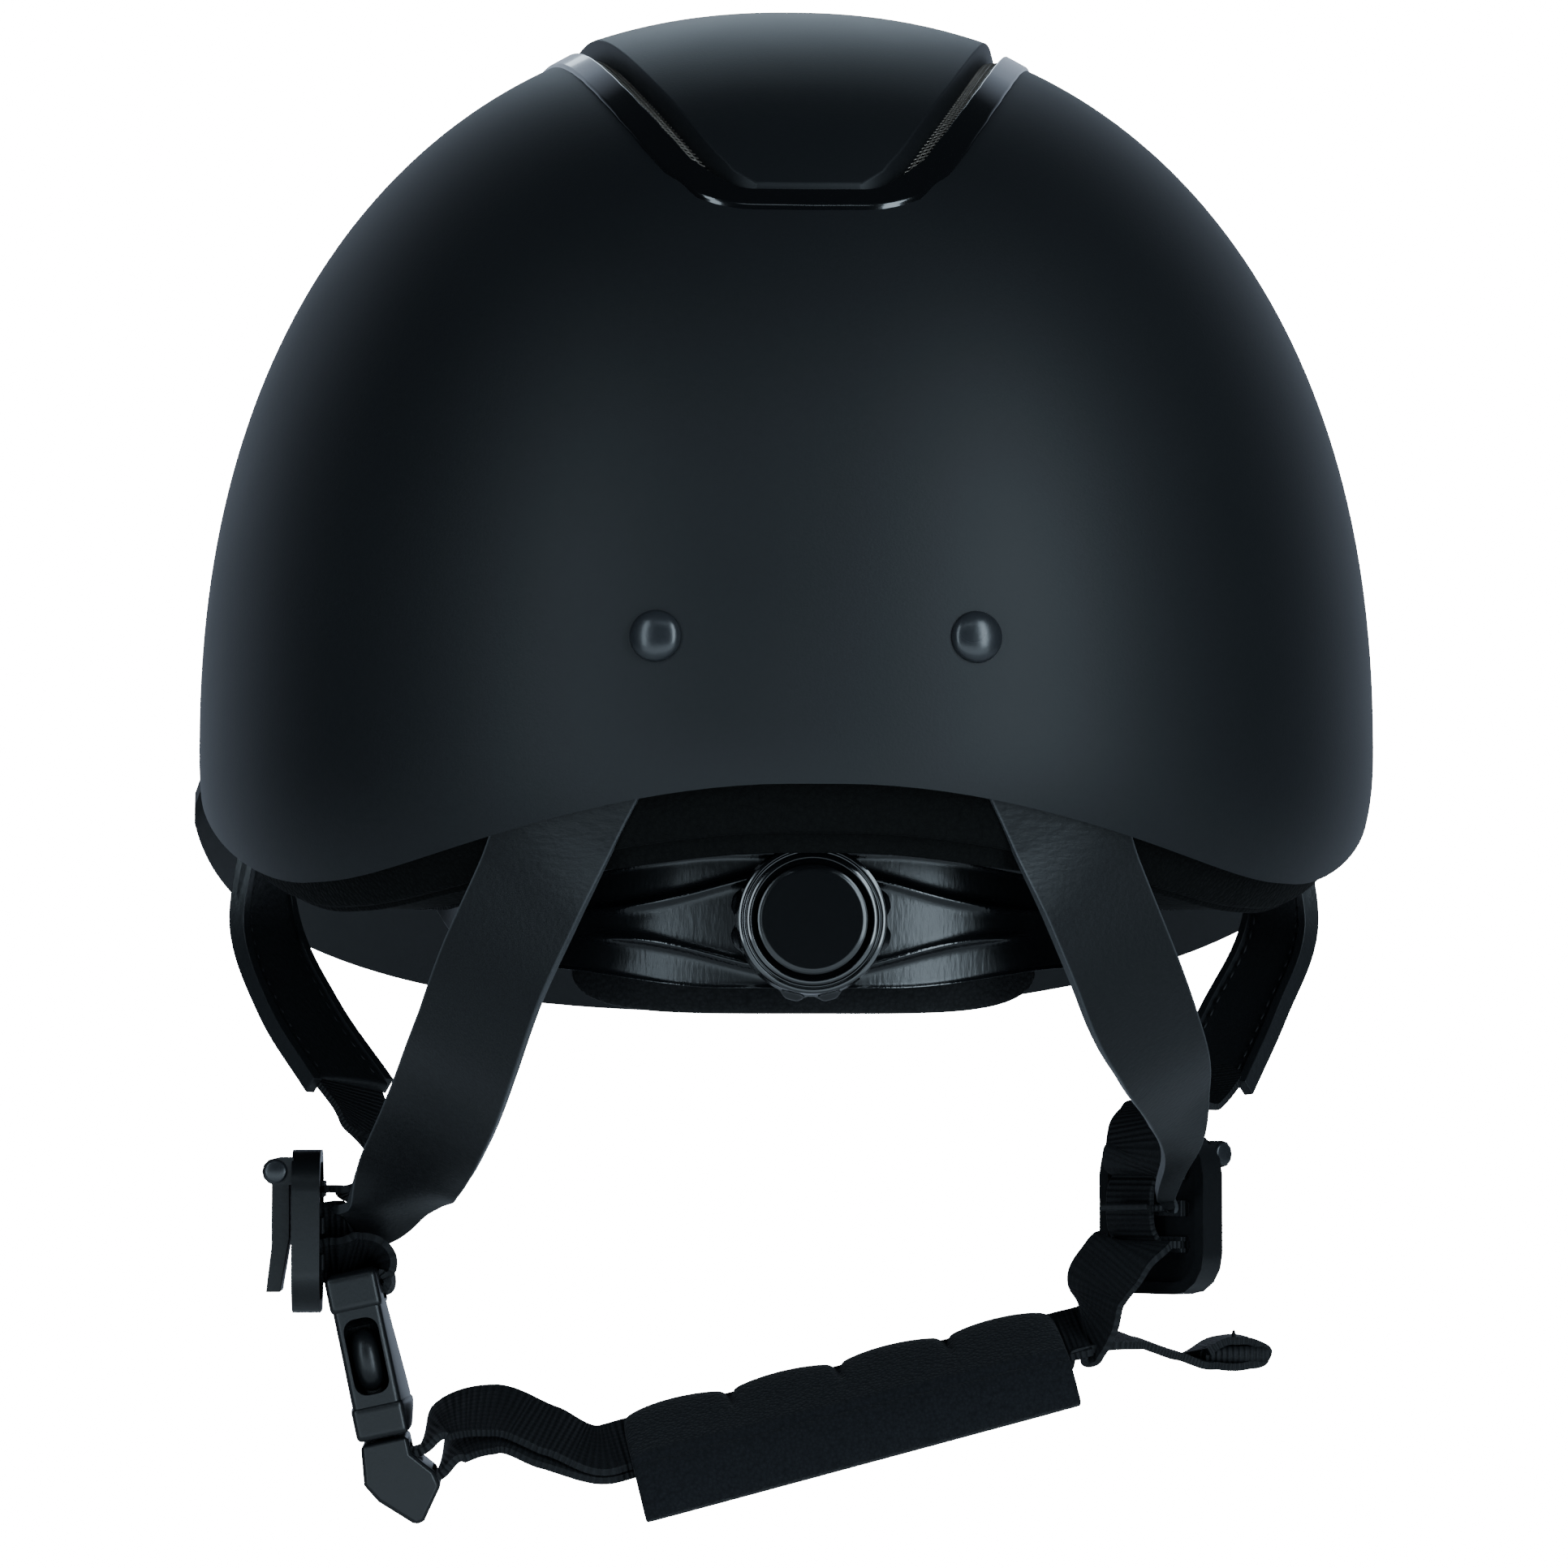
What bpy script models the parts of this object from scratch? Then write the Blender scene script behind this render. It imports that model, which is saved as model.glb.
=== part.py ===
# Riding helmet with a wide peak, a vented crown, a dial-adjusted nape cradle and a buckled harness.
# Metres. +X is the wearer's right, +Y forward, +Z up. The origin is the middle of the head opening,
# level with the lowest corners of the outer shell.
import math

import bmesh
import bpy
from mathutils import Matrix, Vector

# Fits
SEAT_GAP = 0.0003
SLIDE_GAP = 0.0005

# Outer shell: a superellipse dome that tucks in below its widest section
SHELL_HALF_WIDTH = 0.105
SHELL_FRONT = 0.125
SHELL_REAR = 0.122
SHELL_CROWN = 0.1565
SHELL_BELT = 0.026
SHELL_POWER = 2.2
SHELL_TUCK = 0.06
TUCK_POWER = 2.5
SHELL_WALL = 0.003
REAR_ARCH = 0.015
SIDE_RIM = 0.024
DOME_SEGMENTS = 36
DOME_RINGS = 10
BELT_RING = 8

# Foam liner, comfort lining and brow pad inside the shell
LINER_WALL = 0.018
LINER_GAP = 0.0008
LINER_LIP = 0.004
LINER_REAR_LIP = 0.0045
COMFORT_WALL = 0.004
BROW_WALL = 0.005
BROW_HEIGHT = 0.026
BROW_LIFT = 0.004
BROW_HALF_ANGLE = 60.0

# Peak
PEAK_OVERHANG = 0.003
PEAK_PROJECTION = 0.062
PEAK_CENTRE = 0.020
PEAK_POWER = 2.3
PEAK_WALL = 0.0025
PEAK_ROOT_LIFT = 0.003
PEAK_SIDE_DROP = 0.003
PEAK_FRONT_DROP = 0.0365
PEAK_DROP_START = 0.020
PEAK_DROP_POWER = 0.87

# Crown vent: panel, trim frame and mesh strips, all in plan view
VENT_REAR = 0.1000
VENT_FRONT = 0.088
VENT_REAR_HALF = 0.0205
VENT_MID_HALF = 0.0455
VENT_FRONT_HALF = 0.030
VENT_CORNER = 0.007
TRIM_WIDTH = 0.0046
TRIM_RISE = 0.0010
TRIM_DEPTH = 0.0060
SLOT_WIDTH = 0.0042
PANEL_RISE = 0.0022
PANEL_DEPTH = 0.0026
MESH_WALL = 0.0008
MESH_TUCK = 0.0014
MESH_HOLE_LENGTH = 0.0085
MESH_BAR = 0.0012
MESH_HOLES = 11
AIR_SLOT_LENGTH = 0.090

# Rivets that hold the harness
RIVET_HEAD_RADIUS = 0.0042
RIVET_HEAD_HEIGHT = 0.0019
RIVET_SHANK_RADIUS = 0.0020
RIVET_TAIL_RADIUS = 0.0042
RIVET_TAIL_WALL = 0.0008
REAR_RIVET_TURN = 12.3
REAR_RIVET_HEIGHT = 0.038
FRONT_RIVET_TURN = 113.0
FRONT_RIVET_HEIGHT = 0.047

# Straps
STRAP_WIDTH = 0.020
STRAP_WALL = 0.0016
COVER_WALL = 0.0022
WEBBING_WIDTH = 0.016
WEBBING_WALL = 0.0014
WEBBING_GAP = 0.0014
STRAP_INSET = 0.0056
REAR_STRAP_LEAN = 26.0

# Nape cradle: bands on concentric arcs about a vertical axis
CRADLE_RADIUS = 0.068
CRADLE_CENTRE_Y = -0.029
CRADLE_LEVEL = -0.0073
CRADLE_WALL = 0.0022
CRADLE_SPAN = 44.0
CRADLE_HEIGHT = 0.022
CRADLE_END_HEIGHT = 0.0145
RIB_RISE = 0.0012
RIB_WIDTH = 0.0016
RACK_WALL = 0.0016
COVER_PLATE_WALL = 0.0015
COVER_PLATE_SPAN = 24.0
COVER_PLATE_HEIGHT = 0.019
PAD_WALL = 0.0045
PAD_SPAN = 40.0
PAD_TOP = 0.002
PAD_BOTTOM = -0.0225
ARM_HEIGHT = 0.009
ARM_START = 27.0
ARM_DROP = 0.0015
ARM_LEAVES_ARC = 50.0
ARM_CLEARANCE = 0.0076
LINING_HALF_WIDTH = SHELL_HALF_WIDTH - SHELL_WALL - LINER_GAP - LINER_WALL - SEAT_GAP - COMFORT_WALL
ARM_HALF_SPACING = LINING_HALF_WIDTH - ARM_CLEARANCE
ARM_END_Y = 0.003
PIVOT_Y = -0.014
PIVOT_HEIGHT = 0.016
PIVOT_PIN_RADIUS = 0.0020
PIVOT_PIN_HEAD_RADIUS = 0.0040
PIVOT_PIN_HEAD_WALL = 0.0018
PIVOT_PIN_REACH = 0.0038
PIVOT_PIN_INNER = ARM_HALF_SPACING - PIVOT_PIN_REACH
PIVOT_PIN_BITE = 0.007
PIVOT_SLOT_TRAVEL = 0.0098

# Size dial with a pinion between two racks
PINION_TEETH = 10
PINION_RADIUS = 0.0040
TOOTH_ADDENDUM = 0.0006
TOOTH_DEDENDUM = 0.0009
TOOTH_SHARE = 0.36
TOOTH_TIP_SHARE = 0.20
RACK_BODY = 0.0030
RACK_TIP_ANGLE = 10.0
DIAL_RADIUS = 0.0134
DIAL_DEPTH = 0.0095
DIAL_LOBES = 10
DIAL_LOBE_DEPTH = 0.0008
DIAL_CAP_RADIUS = 0.0098
DIAL_CAP_WALL = 0.0020
DIAL_SHAFT_RADIUS = 0.0025
DIAL_STUB_RADIUS = 0.0017
COVER_SCREW_ANGLE = 13.0
COVER_SCREW_RADIUS = 0.0011
COVER_SCREW_HEAD_RADIUS = 0.0021
COVER_SCREW_HEAD_WALL = 0.0007
COVER_SCREW_BITE = 0.0012

# Strap dividers: a slotted frame with a clamping lever on its outer face
DIVIDER_WIDTH = 0.026
DIVIDER_HEIGHT = 0.029
DIVIDER_WALL = 0.0050
DIVIDER_RECESS = 0.0012
DIVIDER_BORDER = 0.0022
DIVIDER_CORNER = 0.0075
DIVIDER_SLOT_HEIGHT = 0.0028
DIVIDER_SLOT_SPACING = 0.0065
DIVIDER_SLOT_LIFT = 0.0010
LEVER_WALL = 0.0032
LEVER_LENGTH = 0.0215
LEVER_BARREL_RADIUS = 0.0024
LEVER_PIN_RADIUS = 0.0011
LEVER_PIN_DROP = 0.0038
LEVER_LIP = 0.0016
EAR_WALL = 0.0026
LEFT_DIVIDER = (-0.0855, 0.0, -0.0600)
LEFT_DIVIDER_TURN = 180.0
RIGHT_DIVIDER = (0.0680, 0.0, -0.0570)
RIGHT_DIVIDER_TURN = 40.0

# Side-release buckle and chin strap, which swings about a bend line below the right divider
CHIN_BEND = (0.0560, -0.0050, -0.0700)
BUCKLE_MOUTH = (-0.0715, 0.0020, -0.0970)
BUCKLE_WIDTH = 0.026
BUCKLE_WALL = 0.0085
FEMALE_LENGTH = 0.0300
FEMALE_SKIN = 0.0016
CAVITY_DEPTH = 0.0205
WINDOW_START = 0.0085
WINDOW_LENGTH = 0.0105
BUCKLE_SLOT_HEIGHT = 0.0032
FEMALE_SLOT_LEVEL = 0.0262
MALE_WIDTH = 0.024
MALE_LENGTH = 0.0158
TONGUE_LENGTH = 0.0070
TONGUE_WIDTH = 0.0070
TONGUE_WALL = 0.0030
PRONG_WALL = 0.0036
PRONG_ARM = 0.0022
PRONG_ROOT = 0.0068
BUCKLE_PLAY = 0.0006
CHIN_PAD_START = (-0.0280, 0.0000, -0.0990)
CHIN_PAD_END = (0.0500, 0.0000, -0.0800)
CHIN_PAD_WALL = 0.0076
CHIN_PAD_UPPER = 0.0105
CHIN_PAD_LOWER = 0.0100
CHIN_PAD_FLAP = 0.0085
CHIN_PAD_LOBES = 4
CHIN_PAD_NOTCH = 0.0022
CHIN_PAD_TAPER = 0.80
CHIN_LAYER = 0.0009
CHIN_TUNNEL_PLAY = 0.0006
CHIN_PAD_TRAVEL = 0.003
CHIN_TILT = 28.0
CHIN_BEND_GAP = 0.0009

for stale in list(bpy.data.objects):
    bpy.data.objects.remove(stale, do_unlink=True)

helmet = bpy.data.collections.new("riding_helmet")
cutters = bpy.data.collections.new("riding_helmet_cutters")
for group in (helmet, cutters):
    bpy.context.scene.collection.children.link(group)


def material(name, colour, roughness, metallic=0.0):
    finish = bpy.data.materials.new(name)
    finish.use_nodes = True
    shader = finish.node_tree.nodes["Principled BSDF"]
    shader.inputs["Base Color"].default_value = (*colour, 1.0)
    shader.inputs["Roughness"].default_value = roughness
    shader.inputs["Metallic"].default_value = metallic
    finish.diffuse_color = (*colour, 1.0)
    return finish


MATT_SHELL = material("matt_shell", (0.010, 0.011, 0.014), 0.55)
GLOSS_TRIM = material("gloss_trim", (0.006, 0.006, 0.007), 0.12)
WIRE_MESH = material("wire_mesh", (0.09, 0.08, 0.07), 0.4, 0.8)
FOAM = material("foam", (0.012, 0.012, 0.013), 0.85)
LINING = material("lining", (0.014, 0.015, 0.014), 0.95)
RIVET_PAINT = material("rivet_paint", (0.03, 0.032, 0.036), 0.35, 0.5)
STRAP_LEATHER = material("strap_leather", (0.012, 0.012, 0.013), 0.5)
WEBBING = material("webbing", (0.010, 0.011, 0.013), 0.8)
SATIN_PLASTIC = material("satin_plastic", (0.012, 0.012, 0.013), 0.32)
STEEL = material("steel", (0.5, 0.5, 0.5), 0.3, 1.0)
CHIN_CLOTH = material("chin_cloth", (0.010, 0.011, 0.016), 0.9)


def smoothstep(low, high, value):
    share = min(1.0, max(0.0, (value - low) / (high - low)))
    return share * share * (3.0 - 2.0 * share)


def add_object(name, mesh, finish=None):
    thing = bpy.data.objects.new(name, mesh)
    if finish is None:
        cutters.objects.link(thing)
        thing.hide_render = True
        thing.display_type = 'WIRE'
    else:
        helmet.objects.link(thing)
        mesh.materials.append(finish)
    return thing


def bmesh_object(name, bm, finish=None, smooth=40.0):
    bmesh.ops.recalc_face_normals(bm, faces=bm.faces)
    mesh = bpy.data.meshes.new(name)
    bm.to_mesh(mesh)
    bm.free()
    mesh.shade_smooth()
    mesh.set_sharp_from_angle(angle=math.radians(smooth))
    return add_object(name, mesh, finish)


def boolean(thing, tool, operation='DIFFERENCE'):
    step = thing.modifiers.new(tool.name, 'BOOLEAN')
    step.operation = operation
    step.solver = 'EXACT'
    step.object = tool


def thicken(thing, wall, offset=0.0):
    step = thing.modifiers.new("wall", 'SOLIDIFY')
    step.thickness = wall
    step.offset = offset


def thicken_inward(thing, wall, centre_y):
    """Gives a sheet its wall on the side that faces the vertical axis at a place along Y."""
    away = sum(face.normal.xy.dot(face.center.xy - Vector((0.0, centre_y)))
               for face in thing.data.polygons)
    thicken(thing, wall, -1.0 if away > 0 else 1.0)


def round_edges(thing, width, segments=2):
    step = thing.modifiers.new("edges", 'BEVEL')
    step.width = width
    step.segments = segments
    step.limit_method = 'ANGLE'
    step.angle_limit = math.radians(50)


def outline_object(name, loops, depth, finish=None):
    """A flat outline, with any inner loops as holes, extruded evenly about its plane."""
    curve = bpy.data.curves.new(name + "_outline", 'CURVE')
    curve.dimensions = '2D'
    curve.fill_mode = 'BOTH'
    curve.extrude = depth / 2
    for loop in loops:
        spline = curve.splines.new('POLY')
        spline.points.add(len(loop) - 1)
        for point, (x, y) in zip(spline.points, loop):
            point.co = (x, y, 0.0, 1.0)
        spline.use_cyclic_u = True
    holder = bpy.data.objects.new(name + "_outline", curve)
    bpy.context.scene.collection.objects.link(holder)
    depsgraph = bpy.context.evaluated_depsgraph_get()
    mesh = bpy.data.meshes.new_from_object(holder.evaluated_get(depsgraph))
    bpy.data.objects.remove(holder, do_unlink=True)
    bm = bmesh.new()
    bm.from_mesh(mesh)
    bpy.data.meshes.remove(mesh)
    bmesh.ops.remove_doubles(bm, verts=bm.verts, dist=0.000005)
    return bmesh_object(name, bm, finish, 35.0)


def turned_object(name, profile, finish=None, steps=24):
    """A profile of radius and height pairs, top to bottom, spun about Z."""
    bm = bmesh.new()
    points = [bm.verts.new((radius, 0.0, height)) for radius, height in profile]
    for first, second in zip(points, points[1:]):
        bm.edges.new((first, second))
    mesh = bpy.data.meshes.new(name)
    bm.to_mesh(mesh)
    bm.free()
    thing = add_object(name, mesh, finish)
    step = thing.modifiers.new("turn", 'SCREW')
    step.axis = 'Z'
    step.steps = steps
    step.render_steps = steps
    step.use_merge_vertices = True
    step.merge_threshold = 0.00001
    step.use_smooth_shade = True
    return thing


def cylinder(name, radius, depth, finish=None, segments=24):
    bm = bmesh.new()
    bmesh.ops.create_cone(bm, cap_ends=True, segments=segments,
                          radius1=radius, radius2=radius, depth=depth)
    return bmesh_object(name, bm, finish)


def block(name, size, centre=(0.0, 0.0, 0.0), finish=None):
    bm = bmesh.new()
    bmesh.ops.create_cube(bm, size=1.0)
    bmesh.ops.scale(bm, vec=size, verts=bm.verts)
    bmesh.ops.translate(bm, vec=centre, verts=bm.verts)
    return bmesh_object(name, bm, finish)


def rounded_loop(corners, radius, steps=4):
    """A closed outline whose corners are rounded by arcs."""
    points = []
    for index, corner in enumerate(corners):
        here = Vector(corner)
        before = (Vector(corners[index - 1]) - here).normalized()
        after = (Vector(corners[(index + 1) % len(corners)]) - here).normalized()
        half = before.angle(after) / 2
        reach = radius / math.tan(half)
        start = here + before * reach
        middle = here + (before + after).normalized() * (radius / math.sin(half))
        spoke = start - middle
        sweep = math.pi - 2 * half
        sign = -1.0 if before.cross(after) > 0 else 1.0
        for step in range(steps + 1):
            turn = Matrix.Rotation(sign * sweep * step / steps, 2)
            points.append(tuple(middle + turn @ spoke))
    return points


def along_axis(direction, place):
    """The placement that turns local Z to a direction at a place."""
    turn = Vector(direction).to_track_quat('Z', 'Y').to_matrix().to_4x4()
    return Matrix.Translation(place) @ turn


def empty(name, matrix):
    holder = bpy.data.objects.new(name, None)
    helmet.objects.link(holder)
    holder.matrix_world = matrix
    return holder


def carry(thing, holder, matrix=None):
    thing.parent = holder
    thing.matrix_basis = matrix if matrix else Matrix.Identity(4)


# Turns an outline drawn in X and Y into one that stands in Y and Z
ON_EDGE = Matrix(((0, 0, 1, 0), (1, 0, 0, 0), (0, 1, 0, 0), (0, 0, 0, 1)))


# Dome surfaces

def rim_height(turn):
    swing = abs(turn)
    arch = REAR_ARCH * (1.0 - smoothstep(10.0, 48.0, swing))
    return arch + SIDE_RIM * smoothstep(56.0, 106.0, swing)


def liner_rim(turn):
    return rim_height(turn) - LINER_LIP - LINER_REAR_LIP * (1.0 - smoothstep(10.0, 48.0, abs(turn)))


def plan_radius(turn, inset):
    """Distance from the vertical axis to the belt, at a turn in degrees from the rear."""
    angle = math.radians(turn)
    length = SHELL_REAR if math.cos(angle) > 0 else SHELL_FRONT
    across = abs(math.sin(angle)) / (SHELL_HALF_WIDTH - inset)
    along = abs(math.cos(angle)) / (length - inset)
    return (across ** SHELL_POWER + along ** SHELL_POWER) ** (-1.0 / SHELL_POWER)


def dome_point(turn, level, inset, rim):
    """A point on the dome: level 0 is the crown, BELT_RING / DOME_RINGS the belt and 1 the rim."""
    belt_level = BELT_RING / DOME_RINGS
    if level <= belt_level:
        fall = level / belt_level * math.pi / 2
        spread = math.sin(fall) ** (2.0 / SHELL_POWER)
        rise = max(0.0, math.cos(fall)) ** (2.0 / SHELL_POWER)
        height = SHELL_BELT + (SHELL_CROWN - inset - SHELL_BELT) * rise
    else:
        low = (level - belt_level) / (1.0 - belt_level)
        height = SHELL_BELT + (rim - SHELL_BELT) * low
        spread = 1.0 - SHELL_TUCK * ((SHELL_BELT - height) / SHELL_BELT) ** TUCK_POWER
    radius = plan_radius(turn, inset) * spread
    angle = math.radians(turn)
    return Vector((radius * math.sin(angle), -radius * math.cos(angle), height))


def surface_at(turn, height, inset):
    """The dome's point at a turn and a height above the origin."""
    belt_level = BELT_RING / DOME_RINGS
    if height >= SHELL_BELT:
        rise = (height - SHELL_BELT) / (SHELL_CROWN - inset - SHELL_BELT)
        level = math.acos(rise ** (SHELL_POWER / 2.0)) / (math.pi / 2) * belt_level
        return dome_point(turn, level, inset, 0.0)
    low = (SHELL_BELT - height) / SHELL_BELT
    return dome_point(turn, belt_level + (1.0 - belt_level) * low, inset, 0.0)


def surface_axes(turn, height):
    """The dome's level tangent and its outward normal."""
    step = 0.0005
    ahead = surface_at(turn + 0.3, height, 0.0) - surface_at(turn - 0.3, height, 0.0)
    above = surface_at(turn, height + step, 0.0) - surface_at(turn, height - step, 0.0)
    return ahead.normalized(), ahead.cross(above).normalized()


def strap_stop(turn, height, lean, sense):
    """A strap's stop just inside the shell, its width leaning from level about the normal."""
    ahead, normal = surface_axes(turn, height)
    across = Matrix.Rotation(math.radians(lean), 3, normal) @ (ahead * sense)
    return surface_at(turn, height, STRAP_INSET), across


def dome_shell(name, outer, inner, rim, finish=None):
    """A closed cup between two insets of the dome: two half balls, joined at their rims and drawn out."""
    bm = bmesh.new()
    equators = []
    for size in (2.0, 1.0):
        ball = bmesh.ops.create_uvsphere(bm, u_segments=DOME_SEGMENTS, v_segments=2 * DOME_RINGS,
                                         radius=size)["verts"]
        equators.append({round(math.degrees(math.atan2(vert.co.x, -vert.co.y))) % 360: vert
                         for vert in ball if abs(vert.co.z) < 0.01})
    outside, inside = equators
    turns = sorted(outside)
    for here, there in zip(turns, turns[1:] + turns[:1]):
        bm.faces.new((outside[here], outside[there], inside[there], inside[here]))
    bmesh.ops.delete(bm, geom=[vert for vert in bm.verts if vert.co.z < -0.01], context='VERTS')
    for vert in bm.verts:
        size = vert.co.length
        turn = math.degrees(math.atan2(vert.co.x, -vert.co.y))
        level = math.acos(min(1.0, max(0.0, vert.co.z / size))) / (math.pi / 2)
        vert.co = dome_point(turn, level, outer if size > 1.5 else inner, rim(turn))
    return bmesh_object(name, bm, finish)


# Ribbons

def blend_points(points, share):
    """A smooth curve through points, at a share of the way along, without overshoot between them."""
    spans = len(points) - 1
    place = min(share * spans, spans - 1e-9)
    index = int(place)
    t = place - index

    def slope(stop):
        ahead = points[min(stop + 1, spans)] - points[stop]
        behind = points[stop] - points[max(stop - 1, 0)]
        if stop == 0:
            return ahead.normalized()
        if stop == spans:
            return behind.normalized()
        near = behind.length
        far = ahead.length
        return (ahead / far * near + behind / near * far) / (near + far)

    start = points[index]
    end = points[index + 1]
    length = (end - start).length
    return (start * (2 * t ** 3 - 3 * t ** 2 + 1) + end * (3 * t ** 2 - 2 * t ** 3)
            + slope(index) * length * (t ** 3 - 2 * t ** 2 + t)
            + slope(index + 1) * length * (t ** 3 - t ** 2))


def blend_sides(sides, share):
    spans = len(sides) - 1
    place = min(share * spans, spans - 1e-9)
    index = int(place)
    return sides[index].lerp(sides[index + 1], place - index)


def ribbon(name, route, width, wall, finish=None, end_width=None, steps=3):
    """A flat strap: each stop of the route is a place and the direction of the strap's width."""
    places = [Vector(place) for place, side in route]
    sides = [Vector(side).normalized() for place, side in route]
    last = width if end_width is None else end_width
    bm = bmesh.new()
    bmesh.ops.create_grid(bm, x_segments=steps * (len(route) - 1), y_segments=2, size=1.0)
    for vert in bm.verts:
        share = (vert.co.x + 1.0) / 2.0
        across = vert.co.y / 2.0
        ahead = (blend_points(places, min(1.0, share + 0.002))
                 - blend_points(places, max(0.0, share - 0.002)))
        ahead.normalize()
        side = blend_sides(sides, share)
        side = (side - ahead * side.dot(ahead)).normalized()
        breadth = width + (last - width) * smoothstep(0.55, 0.95, share)
        vert.co = blend_points(places, share) + side * (across * breadth)
    mesh = bpy.data.meshes.new(name)
    bm.to_mesh(mesh)
    bm.free()
    mesh.shade_smooth()
    thing = add_object(name, mesh, finish)
    thicken(thing, wall)
    return thing


# Outer shell and its crown vent

def vent_corners(inset):
    """The vent's outline in plan, drawn in by an inset."""
    rear = VENT_REAR - inset
    front = VENT_FRONT - inset
    half = [VENT_REAR_HALF - inset, VENT_MID_HALF - inset, VENT_FRONT_HALF - inset]
    return [(-half[0], -rear), (half[0], -rear), (half[1], 0.0),
            (half[2], front), (-half[2], front), (-half[1], 0.0)]


def vent_loop(inset, corner):
    return rounded_loop(vent_corners(inset), corner)


def vent_prism(name, loops, finish=None):
    """An upright prism of vent outlines, from inside the dome to above the crown."""
    height = SHELL_CROWN
    thing = outline_object(name, loops, height, finish)
    thing.location.z = height * 0.85
    return thing


def vent_layer(name, outer, inner):
    return dome_shell(name, outer, inner, rim_height)


PANEL_INSET = TRIM_WIDTH + SLOT_WIDTH


def make_crown_vent():
    panel_end = TRIM_WIDTH + SEAT_GAP
    corners = vent_corners(PANEL_INSET)
    rear = -(VENT_REAR - panel_end)
    front = VENT_FRONT - panel_end
    panel_corners = [(corners[0][0], rear), (corners[1][0], rear), corners[2],
                     (corners[3][0], front), (corners[4][0], front), corners[5]]
    panel = vent_prism("crown_panel", [rounded_loop(panel_corners, VENT_CORNER * 0.3)], MATT_SHELL)
    boolean(panel, vent_layer("panel_layer", -PANEL_RISE, PANEL_DEPTH), 'INTERSECT')

    ring = [vent_loop(0.0, VENT_CORNER), vent_loop(TRIM_WIDTH, VENT_CORNER * 0.5)]
    trim = vent_prism("vent_trim", ring, GLOSS_TRIM)
    boolean(trim, vent_layer("trim_layer", -TRIM_RISE, TRIM_DEPTH), 'INTERSECT')

    mesh_top = PANEL_DEPTH + SEAT_GAP
    mesh_layer = vent_layer("mesh_layer", mesh_top, mesh_top + MESH_WALL)
    inner = vent_corners(TRIM_WIDTH + SEAT_GAP)
    under = vent_corners(PANEL_INSET + MESH_TUCK)
    for side, tag in ((-1.0, "left"), (1.0, "right")):
        rear = inner[1][1] + VENT_CORNER / 2
        front = inner[3][1] - VENT_CORNER / 2
        strip_corners = [(side * under[1][0], rear), (side * inner[1][0], rear),
                         (side * inner[2][0], 0.0), (side * inner[3][0], front),
                         (side * under[3][0], front), (side * under[2][0], 0.0)]
        strip = vent_prism("vent_mesh_" + tag, [strip_corners], WIRE_MESH)
        boolean(strip, mesh_layer, 'INTERSECT')
        boolean(strip, mesh_holes("mesh_holes_" + tag, side))


def slot_middle(y):
    """Half-width of the middle of the open slot at a place along the vent."""
    middle = vent_corners(TRIM_WIDTH + SLOT_WIDTH / 2)
    if y < 0.0:
        share = y / middle[0][1]
        return middle[2][0] + (middle[1][0] - middle[2][0]) * share
    return middle[2][0] + (middle[3][0] - middle[2][0]) * (y / middle[3][1])


def mesh_holes(name, side):
    """A row of upright openings along one slot."""
    bm = bmesh.new()
    start = -(VENT_REAR - TRIM_WIDTH) + MESH_HOLE_LENGTH
    stop = VENT_FRONT - TRIM_WIDTH - MESH_HOLE_LENGTH
    hole_width = SLOT_WIDTH - 2 * MESH_BAR
    pitch = (stop - start) / (MESH_HOLES - 1)
    for index in range(MESH_HOLES):
        y = start + pitch * index
        hole = bmesh.ops.create_cube(bm, size=1.0)["verts"]
        bmesh.ops.scale(bm, vec=(hole_width, MESH_HOLE_LENGTH, SHELL_CROWN), verts=hole)
        bmesh.ops.translate(bm, vec=(side * slot_middle(y), y, SHELL_CROWN * 0.85), verts=hole)
    return bmesh_object(name, bm)


def make_shell():
    shell = dome_shell("outer_shell", 0.0, SHELL_WALL, rim_height, MATT_SHELL)
    opening = vent_prism("vent_opening", [vent_loop(-SEAT_GAP, VENT_CORNER)])
    boolean(shell, opening)
    return shell


def make_liner():
    outer = SHELL_WALL + LINER_GAP
    liner = dome_shell("impact_liner", outer, outer + LINER_WALL, liner_rim, FOAM)
    recess = vent_prism("vent_recess", [vent_loop(-SEAT_GAP, VENT_CORNER)])
    boolean(recess, vent_layer("recess_layer", -TRIM_RISE, TRIM_DEPTH + SEAT_GAP), 'INTERSECT')
    boolean(liner, recess)
    for side, tag in ((-1.0, "left"), (1.0, "right")):
        half = AIR_SLOT_LENGTH / 2
        reach = SLOT_WIDTH / 2
        corners = [(side * (slot_middle(y) + edge * reach), y)
                   for y, edge in ((-half, -1), (-half, 1), (0.0, 1), (half, 1), (half, -1), (0.0, -1))]
        boolean(liner, vent_prism("air_slot_" + tag, [corners]))
    return liner


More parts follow.
